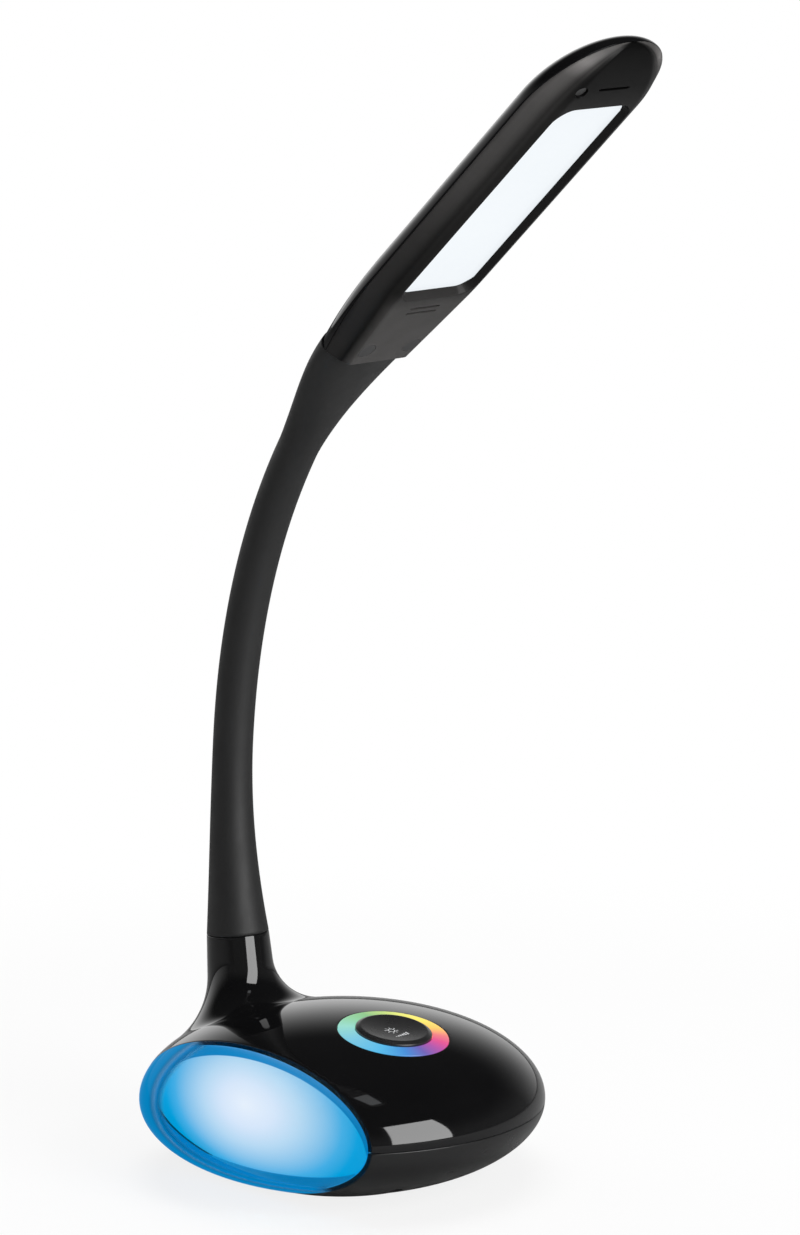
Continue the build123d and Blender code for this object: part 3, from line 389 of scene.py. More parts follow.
def compute(operation, *values):
    """One step of arithmetic on values and numbers."""
    near = next(value for value in values if isinstance(value, bpy.types.NodeSocket))
    return add_node(near, "Math", dict(enumerate(values)), operation=operation).outputs["Value"]


def colour_stops(share, stops):
    """Colour from a run of (position, colour) stops."""
    ramp = add_node(share, "ValToRGB", {"Fac": share})
    elements = ramp.color_ramp.elements
    for position, _ in stops[2:]:
        elements.new(position)
    for element, (position, colour) in zip(elements, stops):
        element.position, element.color = position, (*colour, 1)
    return ramp.outputs["Color"]


def grey_stops(share, stops):
    """Value from a run of (position, value) stops."""
    return colour_stops(share, [(spot, (value,) * 3) for spot, value in stops])


def moulded(name, dark, light, rough, grain, depth, metallic=0, ior=1.5):
    """A faint cloud of colour, patches of roughness and a fine grain."""
    material, shader, place = node_material(name)
    fill(shader, {"Base Color": two_colours(noise(place, 35.0), dark, light),
                  "Roughness": remap(noise(place, 90.0, 5.0), *rough),
                  "Metallic": metallic, "IOR": ior})
    relief(shader, noise(place, grain, 2.0), depth)
    return material


def glowing(name, base, rough, glow, strength=1.0):
    """Material that gives light, in a colour that glow works out from its object coordinates."""
    material, shader, place = node_material(name)
    fill(shader, {"Base Color": (*base, 1), "Roughness": remap(noise(place, 120.0), *rough),
                  "Emission Color": glow(place), "Emission Strength": strength})
    return material


# Name, darkest and lightest colour, roughness, grain per metre and its depth in micrometres; for
# some also how metallic it is, and its index of refraction.
looks = {name: moulded(name, *values) for name, *values in (
    ("gloss_black", (0.0030, 0.0030, 0.0032), (0.0045, 0.0045, 0.0048), (0.035, 0.06), 700, 0.6),
    ("crown_black", (0.0030, 0.0030, 0.0032), (0.0045, 0.0045, 0.0048), (0.06, 0.09), 700, 0.6, 0, 1.22),
    ("satin_black", (0.006, 0.006, 0.0062), (0.009, 0.009, 0.0092), (0.27, 0.34), 5200, 8),
    ("button_black", (0.010, 0.010, 0.0104), (0.015, 0.015, 0.0154), (0.24, 0.32), 2600, 2),
    ("silicone", (0.0062, 0.0062, 0.0064), (0.0098, 0.0098, 0.01), (0.52, 0.62), 3800, 15),
    ("foot_rubber", (0.012, 0.012, 0.012), (0.02, 0.02, 0.02), (0.62, 0.78), 2500, 40),
    ("plug_rubber", (0.014, 0.014, 0.0145), (0.02, 0.02, 0.0205), (0.34, 0.42), 3600, 8),
    ("tray_white", (0.72, 0.73, 0.74), (0.8, 0.81, 0.82), (0.35, 0.45), 2500, 10),
    ("board_green", (0.006, 0.05, 0.02), (0.012, 0.08, 0.035), (0.25, 0.4), 1500, 10),
    ("parts_black", (0.012, 0.012, 0.012), (0.025, 0.025, 0.025), (0.35, 0.5), 2500, 10),
    ("led_cream", (0.75, 0.7, 0.45), (0.85, 0.8, 0.55), (0.3, 0.4), 2500, 10),
    ("clear_guide", (0.75, 0.8, 0.82), (0.82, 0.86, 0.88), (0.05, 0.1), 900, 2),
    ("sheet_white", (0.8, 0.8, 0.8), (0.86, 0.86, 0.86), (0.5, 0.6), 2500, 10),
    ("zinc_steel", (0.42, 0.42, 0.43), (0.56, 0.56, 0.57), (0.22, 0.38), 2600, 10, 1),
    ("cast_iron", (0.05, 0.05, 0.052), (0.09, 0.09, 0.092), (0.5, 0.7), 900, 150, 1),
    ("nickel", (0.5, 0.49, 0.47), (0.62, 0.61, 0.58), (0.12, 0.22), 1800, 4, 1),
    ("icon_white", (0.55, 0.56, 0.57), (0.68, 0.69, 0.7), (0.3, 0.4), 2600, 2),
)}

# Looks of the CAD's own pieces; those that aren't listed are of zinc_steel.
node_looks = {node: looks[look] for look, nodes in (
    ("board_green", "control_board rgb_board driver_board led_strip"),
    ("led_cream", "rgb_leds ring_leds led_chips"), ("tray_white", "window_tray"),
    ("sheet_white", "reflector_sheet"), ("clear_guide", "light_guide"),
    ("parts_black", "tact_switch switch_plunger driver_components inlet_jack head_screws"),
    ("foot_rubber", "rubber_pad"), ("plug_rubber", "screw_plugs"), ("cast_iron", "ballast_plate"),
    ("nickel", "neck_ferrule")) for node in nodes.split()}


# ------------ base
def dome_z(x):
    """Height of the dome above a point of the X axis."""
    return waist_z + base_rise * sqrt(1 - (x / base_radius) ** 2)


def reach(start, ways, grow=0.0):
    """How far lines from a point inside the dome's spheroid run to its surface."""
    size = np.array([base_radius + grow, base_radius + grow, base_rise + grow])
    from_middle = (np.asarray(start) - np.array([0, 0, waist_z])) / size
    way = ways / size
    a = (way ** 2).sum(-1)
    b = (way * from_middle).sum(-1)
    c = (from_middle ** 2).sum(-1) - 1
    return (-b + np.sqrt(b ** 2 - a * c)) / a


collar_top = np.array([root_x, 0, root_z])
collar_front, collar_up = tilted(radians(root_lean))
control_middle = np.array([ring_x, 0, dome_z(ring_x)])
control_front, control_up = tilted(
    atan2(base_rise ** 2 * ring_x, base_radius ** 2 * (dome_z(ring_x) - waist_z)))
control_side = np.cross(control_up, control_front)
control = (control_middle, control_front, control_up)


def dome_line(turn, cone_steps=10, flare_steps=16, dome_steps=150):
    """Line from the collar's top, down its cone and flare and over the dome to the seam.

    It lies in the half plane that the collar's axis makes with a direction round it.
    """
    out = cos(turn) * collar_front + sin(turn) * np.array([0, 1, 0])
    flare_radius = collar_flare + (rear_flare - collar_flare) * (1 - cos(turn)) / 2
    foot = collar_top - collar_up * (root_z - seam_z) / collar_up[2]
    level = unit(out - out[2] / collar_up[2] * collar_up)

    def surface(angles):
        ways = np.cos(angles)[:, None] * collar_up + np.sin(angles)[:, None] * level
        return foot + reach(foot, ways)[:, None] * ways

    angles = np.linspace(0.05, pi / 2, 1200)
    dome = surface(angles)
    dome_in = np.stack([(dome - collar_top) @ out, -(dome - collar_top) @ collar_up], -1)
    slant = 1 / sqrt(1 + collar_taper ** 2)
    low, high = 0.0, 60.0
    for _ in range(30):
        middle = (low + high) / 2
        centre = np.array([collar_radius + collar_taper * middle + flare_radius * slant,
                           middle - flare_radius * slant * collar_taper])
        gaps = np.linalg.norm(dome_in - centre, axis=1)
        nearest = int(gaps.argmin())
        low, high = (middle, high) if gaps[nearest] > flare_radius else (low, middle)
    end = dome_in[nearest]
    cone = [(collar_radius + collar_taper * low * k / cone_steps, low * k / cone_steps)
            for k in range(cone_steps)]
    first = atan2(low - centre[1], collar_radius + collar_taper * low - centre[0]) % (2 * pi)
    last = atan2(end[1] - centre[1], end[0] - centre[0]) % (2 * pi)
    flare = [(centre[0] + flare_radius * cos(a), centre[1] + flare_radius * sin(a))
             for a in np.linspace(first, last, flare_steps, endpoint=False)]
    line = [collar_top + radius * out - depth * collar_up for radius, depth in cone + flare]
    spread = angles[nearest] + (pi / 2 + 0.02 - angles[nearest]) * np.linspace(0, 1, dome_steps)
    return np.vstack([line, surface(spread)])


def dome_shell():
    """Top shell of the base with the collar, the ring's opening and the window's edge."""
    rows = np.stack([dome_line(turn) for turn in full_turn(288)], axis=1)
    sheet = outward(grid(rows, closed=True), np.array([0, 0, 20.0]))

    def rim(p):
        return np.minimum(p[..., 2] - seam_z - seam_gap, p[..., 1] - window_y)

    def mouth(p):
        return -(p - collar_top) @ collar_up - seam_gap

    def opening(p):
        near = off_axis(p, control_middle, control_up) - ring_radius - hole_gap
        return np.where(p[..., 2] > waist_z, near, FAR)

    return shell(sheet, base_wall, [cut(rim, 0.4), cut(mouth, 0.35), cut(opening, 0.5)])


def bowl_shell():
    """Bottom shell of the base, with the pad's recess, the screw holes and the jack's opening."""
    def side(angle):
        return base_radius * cos(angle), waist_z - base_drop * sin(angle)

    low = asin((waist_z - underside_z) / base_drop)
    high = low - 0.04
    edge = (side(low)[0], underside_z)
    flat = [(r, underside_z) for r in np.linspace(36, edge[0] - 2.5, 12)]
    profile = flat[:-1] + bend(flat[-1], edge, side(high), 8)[:-1]
    profile += [side(angle) for angle in np.linspace(high, 0.0, 70)]
    sheet = outward(lathe(profile, (0, 0, 0), (1, 0, 0), UP, 288), np.array([0, 0, 34.0]))

    def rim(p):
        return np.minimum(seam_z - seam_gap - p[..., 2], p[..., 1] - window_y)

    def jack(p):
        round_it = np.hypot(p[..., 1], p[..., 2] - jack_z) - jack_recess
        return np.where(p[..., 0] < 0, round_it, FAR)

    cuts = [cut(rim, 0.4),
            round_hole(np.zeros(3), UP, pad_radius + hole_gap, 0.3, pad_top, blind=False)]
    for turn in screw_turns:
        spot = screw_circle * np.array([cos(radians(turn)), sin(radians(turn)), 0])
        cuts.append(round_hole(spot, UP, screw_hole, 0.3, screw_seat + 0.02))
    jack_steps = ((jack_recess, jack_floor_x), (jack_hole, jack_floor_x), (jack_hole, jack_end_x))
    cuts.append(cut(jack, 0.35, bore=((0, 0, jack_z), (1, 0, 0)), steps=jack_steps))
    return shell(sheet, base_wall, cuts)


def window_form(inset, last_y, rows=56, steps=200):
    """Part of the base's form in front of the window's plane, set in by a wall."""
    radius = base_radius - inset
    turn = full_turn(steps)
    half = np.where(np.sin(turn) >= 0, base_rise, base_drop) - inset
    made = []
    for polar in np.linspace(0.004, np.arccos(-last_y / radius), rows):
        made.append(np.stack([radius * sin(polar) * np.cos(turn), np.full(steps, -radius * cos(polar)),
                              waist_z + half * sin(polar) * np.sin(turn)], -1))
    points, faces = grid(made, closed=True)
    faces.append(tuple(range(steps))[::-1])
    return outward((points, faces), np.array([0, window_y, waist_z]))


def lens_shell():
    """Clear bulged window with rounded edges."""
    sheet = window_form(seam_gap, window_y + 0.6)
    return shell(sheet, lens_wall, [cut(lambda p: window_y - 0.1 - p[..., 1], 0.45)])


def lit_outline(turn):
    """Outline of the lit area behind the lens, as X and Z."""
    x, share = lit_half * cos(turn), abs(sin(turn))
    height = lit_rise if sin(turn) >= 0 else lit_tilt * (x - lit_pivot) - lit_drop
    return lit_x + x, lit_z + height * share


def aperture(turn, inset):
    """Outline of the window's opening, as X and Z."""
    share = sqrt(1 - (window_y / base_radius) ** 2)
    rise = base_rise if sin(turn) >= 0 else base_drop
    return (base_radius * share - inset) * cos(turn), waist_z + (rise * share - inset) * sin(turn)


def diffuser_sheets(steps=200):
    """The lit face, which bulges a little, and the sloping frame round it."""
    inner = np.array([lit_outline(turn) for turn in full_turn(steps)])
    outer = np.array([aperture(turn, base_wall + 0.2) for turn in full_turn(steps)])
    middle = np.array([lit_x, lit_z + 2.5])
    lit_y, frame_y = window_y + lit_set_back, window_y + 0.4

    def row(spots, y):
        return np.stack([spots[:, 0], np.full(steps, y), spots[:, 1]], -1)

    lit, lit_faces = grid([row(middle + (inner - middle) * share, lit_y - lit_bulge * (1 - share ** 2))
                           for share in np.linspace(0.02, 1, 24)], closed=True)
    lit_faces.append(tuple(range(steps))[::-1])
    run = ((0.0, lit_y + 0.4), (0.0, lit_y - 0.5), (0.02, lit_y - 0.8), (0.25, lit_y - 1.4),
           (0.5, lit_y - 2.2), (0.75, lit_y - 3.0), (0.97, frame_y + 0.1), (1.0, frame_y + 0.4))
    rim = grid([row(inner + (outer - inner) * share, y) for share, y in run], closed=True)
    back = np.array([0, 0.0, 30.0])
    return outward((lit, lit_faces), back), outward(rim, back)


# ------------ ring and button
def ring_shell():
    """Light ring that follows the dome, a little proud of it."""
    turn = full_turn(240)
    rows = []
    for radius in np.linspace(ring_bore - 0.4, ring_radius + 0.4, 26):
        level = control_middle - 10 * control_up + radius * (
            np.cos(turn)[:, None] * control_front + np.sin(turn)[:, None] * control_side)
        run = [reach(spot, control_up[None, :], ring_proud)[0] for spot in level]
        rows.append(level + np.array(run)[:, None] * control_up)
    sheet = outward(grid(rows, closed=True), np.array([ring_x, 0, 20.0]))

    def inner(p):
        return off_axis(p, control_middle, control_up) - ring_bore

    def outer(p):
        return ring_radius - off_axis(p, control_middle, control_up)

    return shell(sheet, ring_depth, [cut(inner, 0.3), cut(outer, 0.3)])


dish_rim = button_radius - button_bevel


def dish_height(radius):
    """Height of the button's dished face above the control plane."""
    return button_rise - button_dish * max(0.0, 1 - (radius / dish_rim) ** 2)


def button_sheet():
    """Dished button with a bevelled, rounded rim."""
    face = [(r, dish_height(r)) for r in np.linspace(0.05, dish_rim - 0.5, 26)]
    crown = bend(face[-1], (dish_rim, button_rise), (dish_rim + 0.5, button_rise - 0.25))
    shoulder_z = button_rise - button_bevel / 2
    shoulder = bend((button_radius - 0.5, shoulder_z + 0.25), (button_radius, shoulder_z),
                    (button_radius, shoulder_z - 0.5))
    bore = button_radius - button_skirt
    rest = [(button_radius, button_foot), (bore, button_foot), (bore, -1.6), (stem_radius, -1.6),
            (stem_radius, stem_foot), (0.05, stem_foot), (0.05, dish_height(0))]
    return outward(lathe(face[:-1] + crown + shoulder + rest, *control), control_middle - 2 * control_up)


def icon_plate(outline, lift=0.02, thin=0.06):
    """Thin plate on the button's dish; its X runs towards the lamp's front and Y to its left."""
    low = [(x, y, dish_height(sqrt(x * x + y * y)) + lift) for x, y in outline]
    top = [(x, y, z + thin) for x, y, z in low]
    count = len(outline)
    faces = [tuple(range(count)), tuple(range(2 * count - 1, count - 1, -1))]
    faces += [(j + count, (j + 1) % count + count, (j + 1) % count, j) for j in range(count)]
    points = placed(top + low, *control)
    return outward((points, faces), points.mean(0))


def icon_sheet():
    """Generic dimmer sign: a small sun and a ramp of bars."""
    sun = np.array(sign_spot)
    inner, outer = sign_radii
    turn = np.linspace(0, 2 * pi, 41)
    outlines = []
    for a, b in zip(turn, turn[1:]):
        outlines.append([tuple(sun + r * np.array([cos(t), sin(t)]))
                         for r, t in ((inner, a), (outer, a), (outer, b), (inner, b))])
    for k in range(8):
        a = k * pi / 4 + pi / 8
        way, side = np.array([cos(a), sin(a)]), np.array([-sin(a), cos(a)]) * (outer - inner) / 2
        first, last = (sun + way * radius for radius in sign_rays)
        outlines.append([tuple(first - side), tuple(last - side), tuple(last + side), tuple(first + side)])
    for k in range(6):
        y, tall = bar_start + bar_pitch * k, bar_height + bar_growth * k
        outlines.append([(bar_foot - tall, y), (bar_foot, y), (bar_foot, y + bar_width),
                         (bar_foot - bar_slope - tall, y + bar_width)])
    return join(*[icon_plate(outline) for outline in outlines])


# ------------ neck
def bend_at(share):
    """Angle of the neck's axis from upright after a share of its length, in degrees."""
    return root_lean + (90 - head_pitch - root_lean) * share ** neck_bend_power


part_length = neck_length / neck_parts
arc_ends = [bend_at(k / neck_parts) for k in range(neck_parts + 1)]


def arc_step(x, z, start, end, length):
    """End point of an arc that turns from one angle to another over a length."""
    turn, middle = radians(end - start), radians((start + end) / 2)
    chord = length if abs(turn) < 1e-9 else length * sin(turn / 2) / (turn / 2)
    return x + chord * sin(middle), z + chord * cos(middle)


def neck_at(distance):
    """Point of the neck's axis and its angle in radians; straight beyond both ends."""
    x, z = root_x, root_z
    if distance > 0:
        for k in range(neck_parts):
            start, end = arc_ends[k], arc_ends[k + 1]
            if distance <= part_length:
                now = start + (end - start) * distance / part_length
                x, z = arc_step(x, z, start, now, distance)
                return np.array([x, 0, z]), radians(now)
            x, z = arc_step(x, z, start, end, part_length)
            distance -= part_length
    tilt = radians(arc_ends[-1] if distance > 0 else root_lean)
    return np.array([x + distance * sin(tilt), 0, z + distance * cos(tilt)]), tilt


def sleeve_size(distance):
    """Half width and half height of the sleeve at a distance along the neck."""
    root = 1 - min(1.0, max(0.0, distance) / sleeve_root_run)
    radius = sleeve_radius + (collar_radius - sleeve_radius) * root ** 2
    top = max(0.0, 1 - (neck_length - distance) / sleeve_top_run)
    eased = (top ** 2 * (3 - 2 * top) + top) / 2
    return radius + (sleeve_top_width - radius) * eased, radius + (sleeve_top_height - radius) * top


def neck_ring(distance, size, steps):
    """Ellipse square to the neck."""
    spot, tilt = neck_at(distance)
    turn = full_turn(steps)
    return (spot + size[0] * np.cos(turn)[:, None] * np.array([0, 1.0, 0])
            - size[1] * np.sin(turn)[:, None] * tilted(tilt)[0])


def neck_pieces(name, start, end, size, material, node, pitch=1.6, steps=64):
    """Sleeve or lead in seven pieces, each of which spans one hinge."""

    def smaller(distance, share, less=0.0):
        return [v * share - less for v in size(distance)]

    for k in range(1, neck_parts):
        low, high = (k - 0.5) * part_length, (k + 0.5) * part_length
        first = start if k == 1 else low
        last = end if k == neck_parts - 1 else high
        stops = np.linspace(first, last, max(2, round((last - first) / pitch)))
        rows = [neck_ring(s, size(s), steps) for s in stops]
        if k == 1:
            rows[0] = neck_ring(first + 0.35, size(first + 0.35), steps)
            rows.insert(0, neck_ring(first, smaller(first, 1, 0.35), steps))
            rows.insert(0, neck_ring(first, smaller(first, 0.55), steps))
        if k == neck_parts - 1:
            rows.append(neck_ring(last, smaller(last, 0.55), steps))
        sheet = outward(grid(rows, closed=True), neck_at(k * part_length)[0])
        piece = make(f"{name}_{k}", sheet, material, 50)
        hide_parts(node)
        tuple(neck_at(low)[0] * MM)
        tuple(neck_at(high)[0] * MM)
        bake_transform(piece)


# ------------ head
head_out, head_back = tilted(-radians(head_pitch))
head_origin = neck_at(neck_length)[0] - neck_drop * head_back


def head_point(points):
    """Points given as length along the head, side and height, in the lamp's frame."""
    return placed(points, head_origin, head_out, head_back)


def head_local(points):
    """Length along the head, side and height of points in the lamp's frame."""
    away = np.asarray(points) - head_origin
    return away @ head_out, away[..., 1], away @ head_back


def half_width(distance):
    """Half width of the head before the nose rounds it off."""
    if distance < head_taper_run:
        return head_width - (head_width - head_rear_width) * (1 - distance / head_taper_run) ** 2
    share = (distance - head_taper_run) / (head_length - head_nose - head_taper_run)
    return head_width + (head_tip_width - head_width) * min(1.0, share)


def flat_width(distance):
    """Half width of the flat underside."""
    return belly_flat_rear + (belly_flat - belly_flat_rear) * min(1.0, distance / (0.75 * head_taper_run))


def head_stations():
    """Places along the head, closer together in its nose."""
    nose = head_length - head_nose
    rows = [(s, 1.0) for s in np.linspace(-0.6, nose, 120, endpoint=False)]
    return rows + [(nose + head_nose * sin(a), cos(a)) for a in np.linspace(0, radians(89.3), 60)]


head_inside = head_point([[100.0, 0, 0]])[0]


def head_sheet(rows):
    """Sheet through rows of points across the head, closed at its tip."""
    points, faces = grid(rows)
    faces.append(tuple(range(len(points) - len(rows[0]), len(points))))
    return outward((head_point(points), faces), head_inside)


def crown_sheet(across=90):
    """Back of the head, down to a little below the parting level."""
    rows = []
    for distance, share in head_stations():
        wide, high = half_width(max(0, distance)) * share, head_crown * share
        turn = np.linspace(-0.06, pi + 0.06, across)
        rows.append(np.stack([np.full(across, distance), wide * np.cos(turn), high * np.sin(turn)], -1))
    return head_sheet(rows)


def flank(distance, share):
    """Side of the head from the parting level to the flat underside, as side and height.

    It is two faces that meet in a break along the head.
    """
    wide, flat = half_width(max(0, distance)) * share, flat_width(max(0, distance)) * share
    deep = head_belly * share
    length = sqrt(deep ** 2 + (wide - flat) ** 2)
    made = []
    for t in [*np.linspace(-0.06, crease_share, 14), *np.linspace(crease_share, 1, 9)[1:]]:
        rise = t / crease_share if t < crease_share else (1 - t) / (1 - crease_share)
        bulge = crease_height * share * rise / length
        made.append((wide + (flat - wide) * t + bulge * deep, -deep * t - bulge * (wide - flat)))
    return made


def belly_sheet():
    """Underside of the head, with its corners a little rounded."""
    rows = []
    for distance, share in head_stations():
        side = flank(distance, share)
        corner = side[-1]
        end = (corner[0] - min(1.6, 0.3 * corner[0]), corner[1])
        half = side[:-2] + bend(side[-2], corner, end, 7)
        half += [(end[0] * k / 22, corner[1]) for k in range(21, 0, -1)]
        row = half + [(0.0, corner[1])] + [(-y, h) for y, h in half[::-1]]
        rows.append(np.array([(distance, y, h) for y, h in row]))
    return head_sheet(rows)


def rounded_box(s, y, middle, size, corner):
    """Distance outside a rounded rectangle, with s along the head and y across it."""
    over_s = np.abs(s - middle) - size[0] / 2 + corner
    over_y = np.abs(y) - size[1] / 2 + corner
    outside = np.hypot(np.maximum(over_s, 0), np.maximum(over_y, 0))
    return outside + np.minimum(np.maximum(over_s, over_y), 0) - corner


def crown_shell():
    """Glossy back of the head as a closed shell."""
    def rim(p):
        s, _, h = head_local(p)
        return np.minimum(h - seam_gap, s)

    return shell(crown_sheet(), head_wall, [cut(rim, 0.35)])


def slot_side(place):
    """Measure of how far a point lies outside a slot across the head."""
    return lambda p: rounded_box(*head_local(p)[:2], place, (slot_width, slot_length),
                                 slot_width / 2 - 0.01)


def cover_shell():
    """Underside of the head with the panel's opening, vents, plugs and screw hole."""
    flare = panel_recess * tan(radians(panel_draft))
    middle = panel_start + panel_length / 2

    def rim(p):
        s, _, h = head_local(p)
        return np.minimum(-seam_gap - h, s)

    def opening(p):
        s, y, _ = head_local(p)
        size = (panel_length + 2 * flare, panel_width + 2 * flare)
        return rounded_box(s, y, middle, size, panel_corner + flare)

    cuts = [cut(rim, 0.35), cut(opening, 0.5, draft=panel_draft, depth=panel_recess + 0.02)]
    cuts += [cut(slot_side(place), 0.15) for place in slot_places]
    cuts.append(cut(slot_side(tip_slot_place), 0.15, depth=1.0, blind=True))
    holes = [(spot, plug_hole, plug_deep) for spot in plug_spots]
    holes.append((tip_screw_spot, tip_screw_hole, tip_screw_deep))
    for spot, radius, deep in holes:
        centre = head_point([[*spot, 0]])[0]
        cuts.append(round_hole(centre, head_back, radius, 0.2, deep - head_belly))
    return shell(belly_sheet(), head_wall, cuts)


def painted_sheen_cover_look():
    """Satin black with painted reflections: a painted sheen along each flank and by the neck, painted
    highlights near the nose, and painted shade, darkest, round the panel.
    """
    material, shader, place = node_material("cover_black_painted_sheen")
    # level is how far out a point lies, with the nose's rounding and the neck end's taper taken away;
    # down is 1 over the flat underside and 0 at the parting line, and share runs along the head.
    ahead = along(place, head_origin, head_out)
    side = compute("ABSOLUTE", along(place, head_origin, (0, 1, 0)))
    nose = remap(ahead, 0.0, 1.0, (head_length - head_nose) * MM, head_length * MM)
    narrow = compute("SQRT", compute("SUBTRACT", 1.0, compute("MULTIPLY", nose, nose)))
    taper = remap(ahead, 0.74, 1.0, 0.0, 0.05)
    level = compute("DIVIDE", side, compute("MULTIPLY", narrow, taper))
    down = remap(level, 1.0, 0.0, belly_flat * MM, (head_width + 0.5) * MM)
    share = remap(ahead, 0.0, 1.0, 0.0, head_length * MM)
    # Painted reflections: a pale painted sheen along each flank, and a paler painted sheen on the plate
    # between the neck and the panel.
    # Across the flank the painted sheen is brightest near the parting line and falls to painted shade
    # beside the flat underside.
    painted_flank_sheen_across = grey_stops(down, (
        (0.0, 0.62), (0.1, 1.0), (0.3, 0.95), (0.42, 0.76), (0.52, 0.42), (0.6, 0.2), (0.7, 0.22),
        (0.8, 0.05), (1.0, 0.0)))
    # Along the head the painted sheen grows towards the nose, with a painted highlight peaking near 0.955.
    painted_flank_sheen_along = grey_stops(share, (
        (0.0, 0.014), (0.2, 0.015), (0.38, 0.018), (0.48, 0.027), (0.58, 0.038), (0.75, 0.046),
        (0.92, 0.056), (0.955, 0.13), (0.985, 0.05)))
    # Painted sheen on the flat underside by the neck, fading to near black, a painted shade, beside the
    # panel and the nose.
    painted_plate_sheen_across = grey_stops(down, ((0.6, 0.0), (0.95, 1.0)))
    painted_plate_sheen_along = grey_stops(share, (
        (0.0, 0.044), (0.19, 0.036), (0.24, 0.008), (0.84, 0.006), (0.9, 0.0)))
    # shade is the painted sheen and painted shade together; it lifts the base colour from near black to the
    # warm grey of the painted reflections, a little cloudy.
    shade = compute("ADD", compute("MULTIPLY", painted_flank_sheen_across, painted_flank_sheen_along),
                    compute("MULTIPLY", painted_plate_sheen_across, painted_plate_sheen_along))
    shade = compute("MULTIPLY", shade, remap(noise(place, 35.0), 0.92, 1.08))
    fill(shader, {"Base Color": two_colours(shade, (0.001, 0.001, 0.001), (1.0, 0.96, 0.94)),
                  "Roughness": remap(noise(place, 90.0, 5.0), 0.30, 0.38), "IOR": 1.2})
    relief(shader, noise(place, 4200, 2), 4)
    return material


# ------------ lit materials
def window_light(name, stops, spread):
    """Glow behind the lens, by the distance from its hot spot."""
    def glow(place):
        side = along(place, hot_spot, (1, 0, 0))
        x = compute("MAXIMUM", compute("DIVIDE", side, hot_right * MM),
                    compute("DIVIDE", side, -hot_left * MM))
        z = compute("DIVIDE", along(place, hot_spot, (0, 0, 1)), hot_high * MM)
        squares = compute("ADD", compute("MULTIPLY", x, x), compute("MULTIPLY", z, z))
        return colour_stops(compute("MULTIPLY", compute("SQRT", squares), spread), stops)

    return glowing(name, (0.0, 0.02, 0.03), (0.3, 0.4), glow, 1.3)


glow_blue = window_light("window_glow", (
    (0.0, (0.98, 0.76, 0.73)), (0.25, (0.83, 0.69, 0.71)), (0.46, (0.58, 0.60, 0.66)),
    (0.64, (0.32, 0.48, 0.61)), (0.80, (0.07, 0.36, 0.57)), (0.92, (0.0, 0.30, 0.53)),
    (1.0, (0.0, 0.285, 0.515))), 0.8)
frame_blue = window_light("window_frame", (
    (0.0, (0.0, 0.22, 0.44)), (0.5, (0.0, 0.18, 0.38)), (0.8, (0.0, 0.147, 0.31)),
    (1.0, (0.0, 0.105, 0.215))), 0.7)


def lens_material():
    """Moulding that is clear in front and turns a solid, lit blue at its rear and underside."""
    material, shader, place = node_material("lens_blue")
    way = np.array(lens_clear_way) / np.array([base_radius, base_radius, base_drop]) ** 2
    ahead = along(place, (0, 0, waist_z), unit(way))
    clear = remap(ahead, 0.0, 1.0, *(v * MM for v in lens_fade), "SMOOTHSTEP")
    fill(shader, {
        "Base Color": two_colours(compute("POWER", clear, 3.0), (0.0, 0.01, 0.03), (0.62, 0.87, 1.0)),
        "Emission Color": two_colours(noise(place, 20.0), (0.0, 0.19, 0.455), (0.0, 0.235, 0.53)),
        "Emission Strength": compute("SUBTRACT", 1.0, clear),
        "Transmission Weight": clear,
        "Roughness": remap(noise(place, 60.0), 0.05, 0.09),
        "IOR": 1.04, "Specular IOR Level": 0.1})
    return material


def ring_hues():
    """All hues round the ring, by the angle about its axis."""
    hues = ((34, (0.75, 0.035, 0.24)), (54, (0.83, 0.16, 0.16)), (74, (1.0, 0.52, 0.05)),
            (102, (0.95, 0.74, 0.015)), (130, (0.68, 0.70, 0.04)), (150, (0.36, 0.56, 0.06)),
            (173, (0.13, 0.43, 0.12)), (197, (0.20, 0.56, 0.28)), (224, (0.26, 0.66, 0.55)),
            (262, (0.16, 0.54, 0.72)), (302, (0.05, 0.45, 0.78)), (331, (0.01, 0.22, 0.64)),
            (353, (0.11, 0.075, 0.43)), (375, (0.42, 0.04, 0.36)))
    stops = sorted(((angle % 360) / 360, colour) for angle, colour in hues)
    wrap = stops[0][0] / (stops[0][0] + 1 - stops[-1][0])
    joint = tuple(f + (l - f) * wrap for f, l in zip(stops[0][1], stops[-1][1]))
    stops = [(0.0, joint)] + stops + [(1.0, joint)]

    def glow(place):
        x = along(place, control_middle, control_front)
        y = along(place, control_middle, control_side)
        turns = compute("DIVIDE", compute("ARCTAN2", y, x), 2 * pi)
        return colour_stops(compute("FRACT", turns), stops)

    return glowing("ring_hues", (0.05, 0.05, 0.05), (0.18, 0.25), glow)


def panel_light():
    """Light panel: even, bluish white, a little duller along its rim."""
    middle = head_point([[panel_start + panel_length / 2, 0, 0]])[0]

    def glow(place):
        rims = []
        for way, half in (((0, 1, 0), panel_width / 2), (head_out, panel_length / 2)):
            away = compute("ABSOLUTE", along(place, middle, way))
            rims.append(remap(away, 0.0, 0.16, (half - panel_rim) * MM, half * MM))
        cloud = remap(noise(place, 14.0, 1.0), 0.0, 0.12)
        share = compute("ADD", cloud, compute("MAXIMUM", *rims))
        return two_colours(share, (0.86, 0.90, 0.93), (0.64, 0.69, 0.74))

    return glowing("panel_lit", (0.02, 0.02, 0.02), (0.4, 0.5), glow)


# ------------ making the lamp
node_looks["panel_diffuser"] = panel_light()
for node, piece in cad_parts.items():
    piece.data.materials.clear()
    piece.data.materials.append(node_looks.get(node, looks["zinc_steel"]))

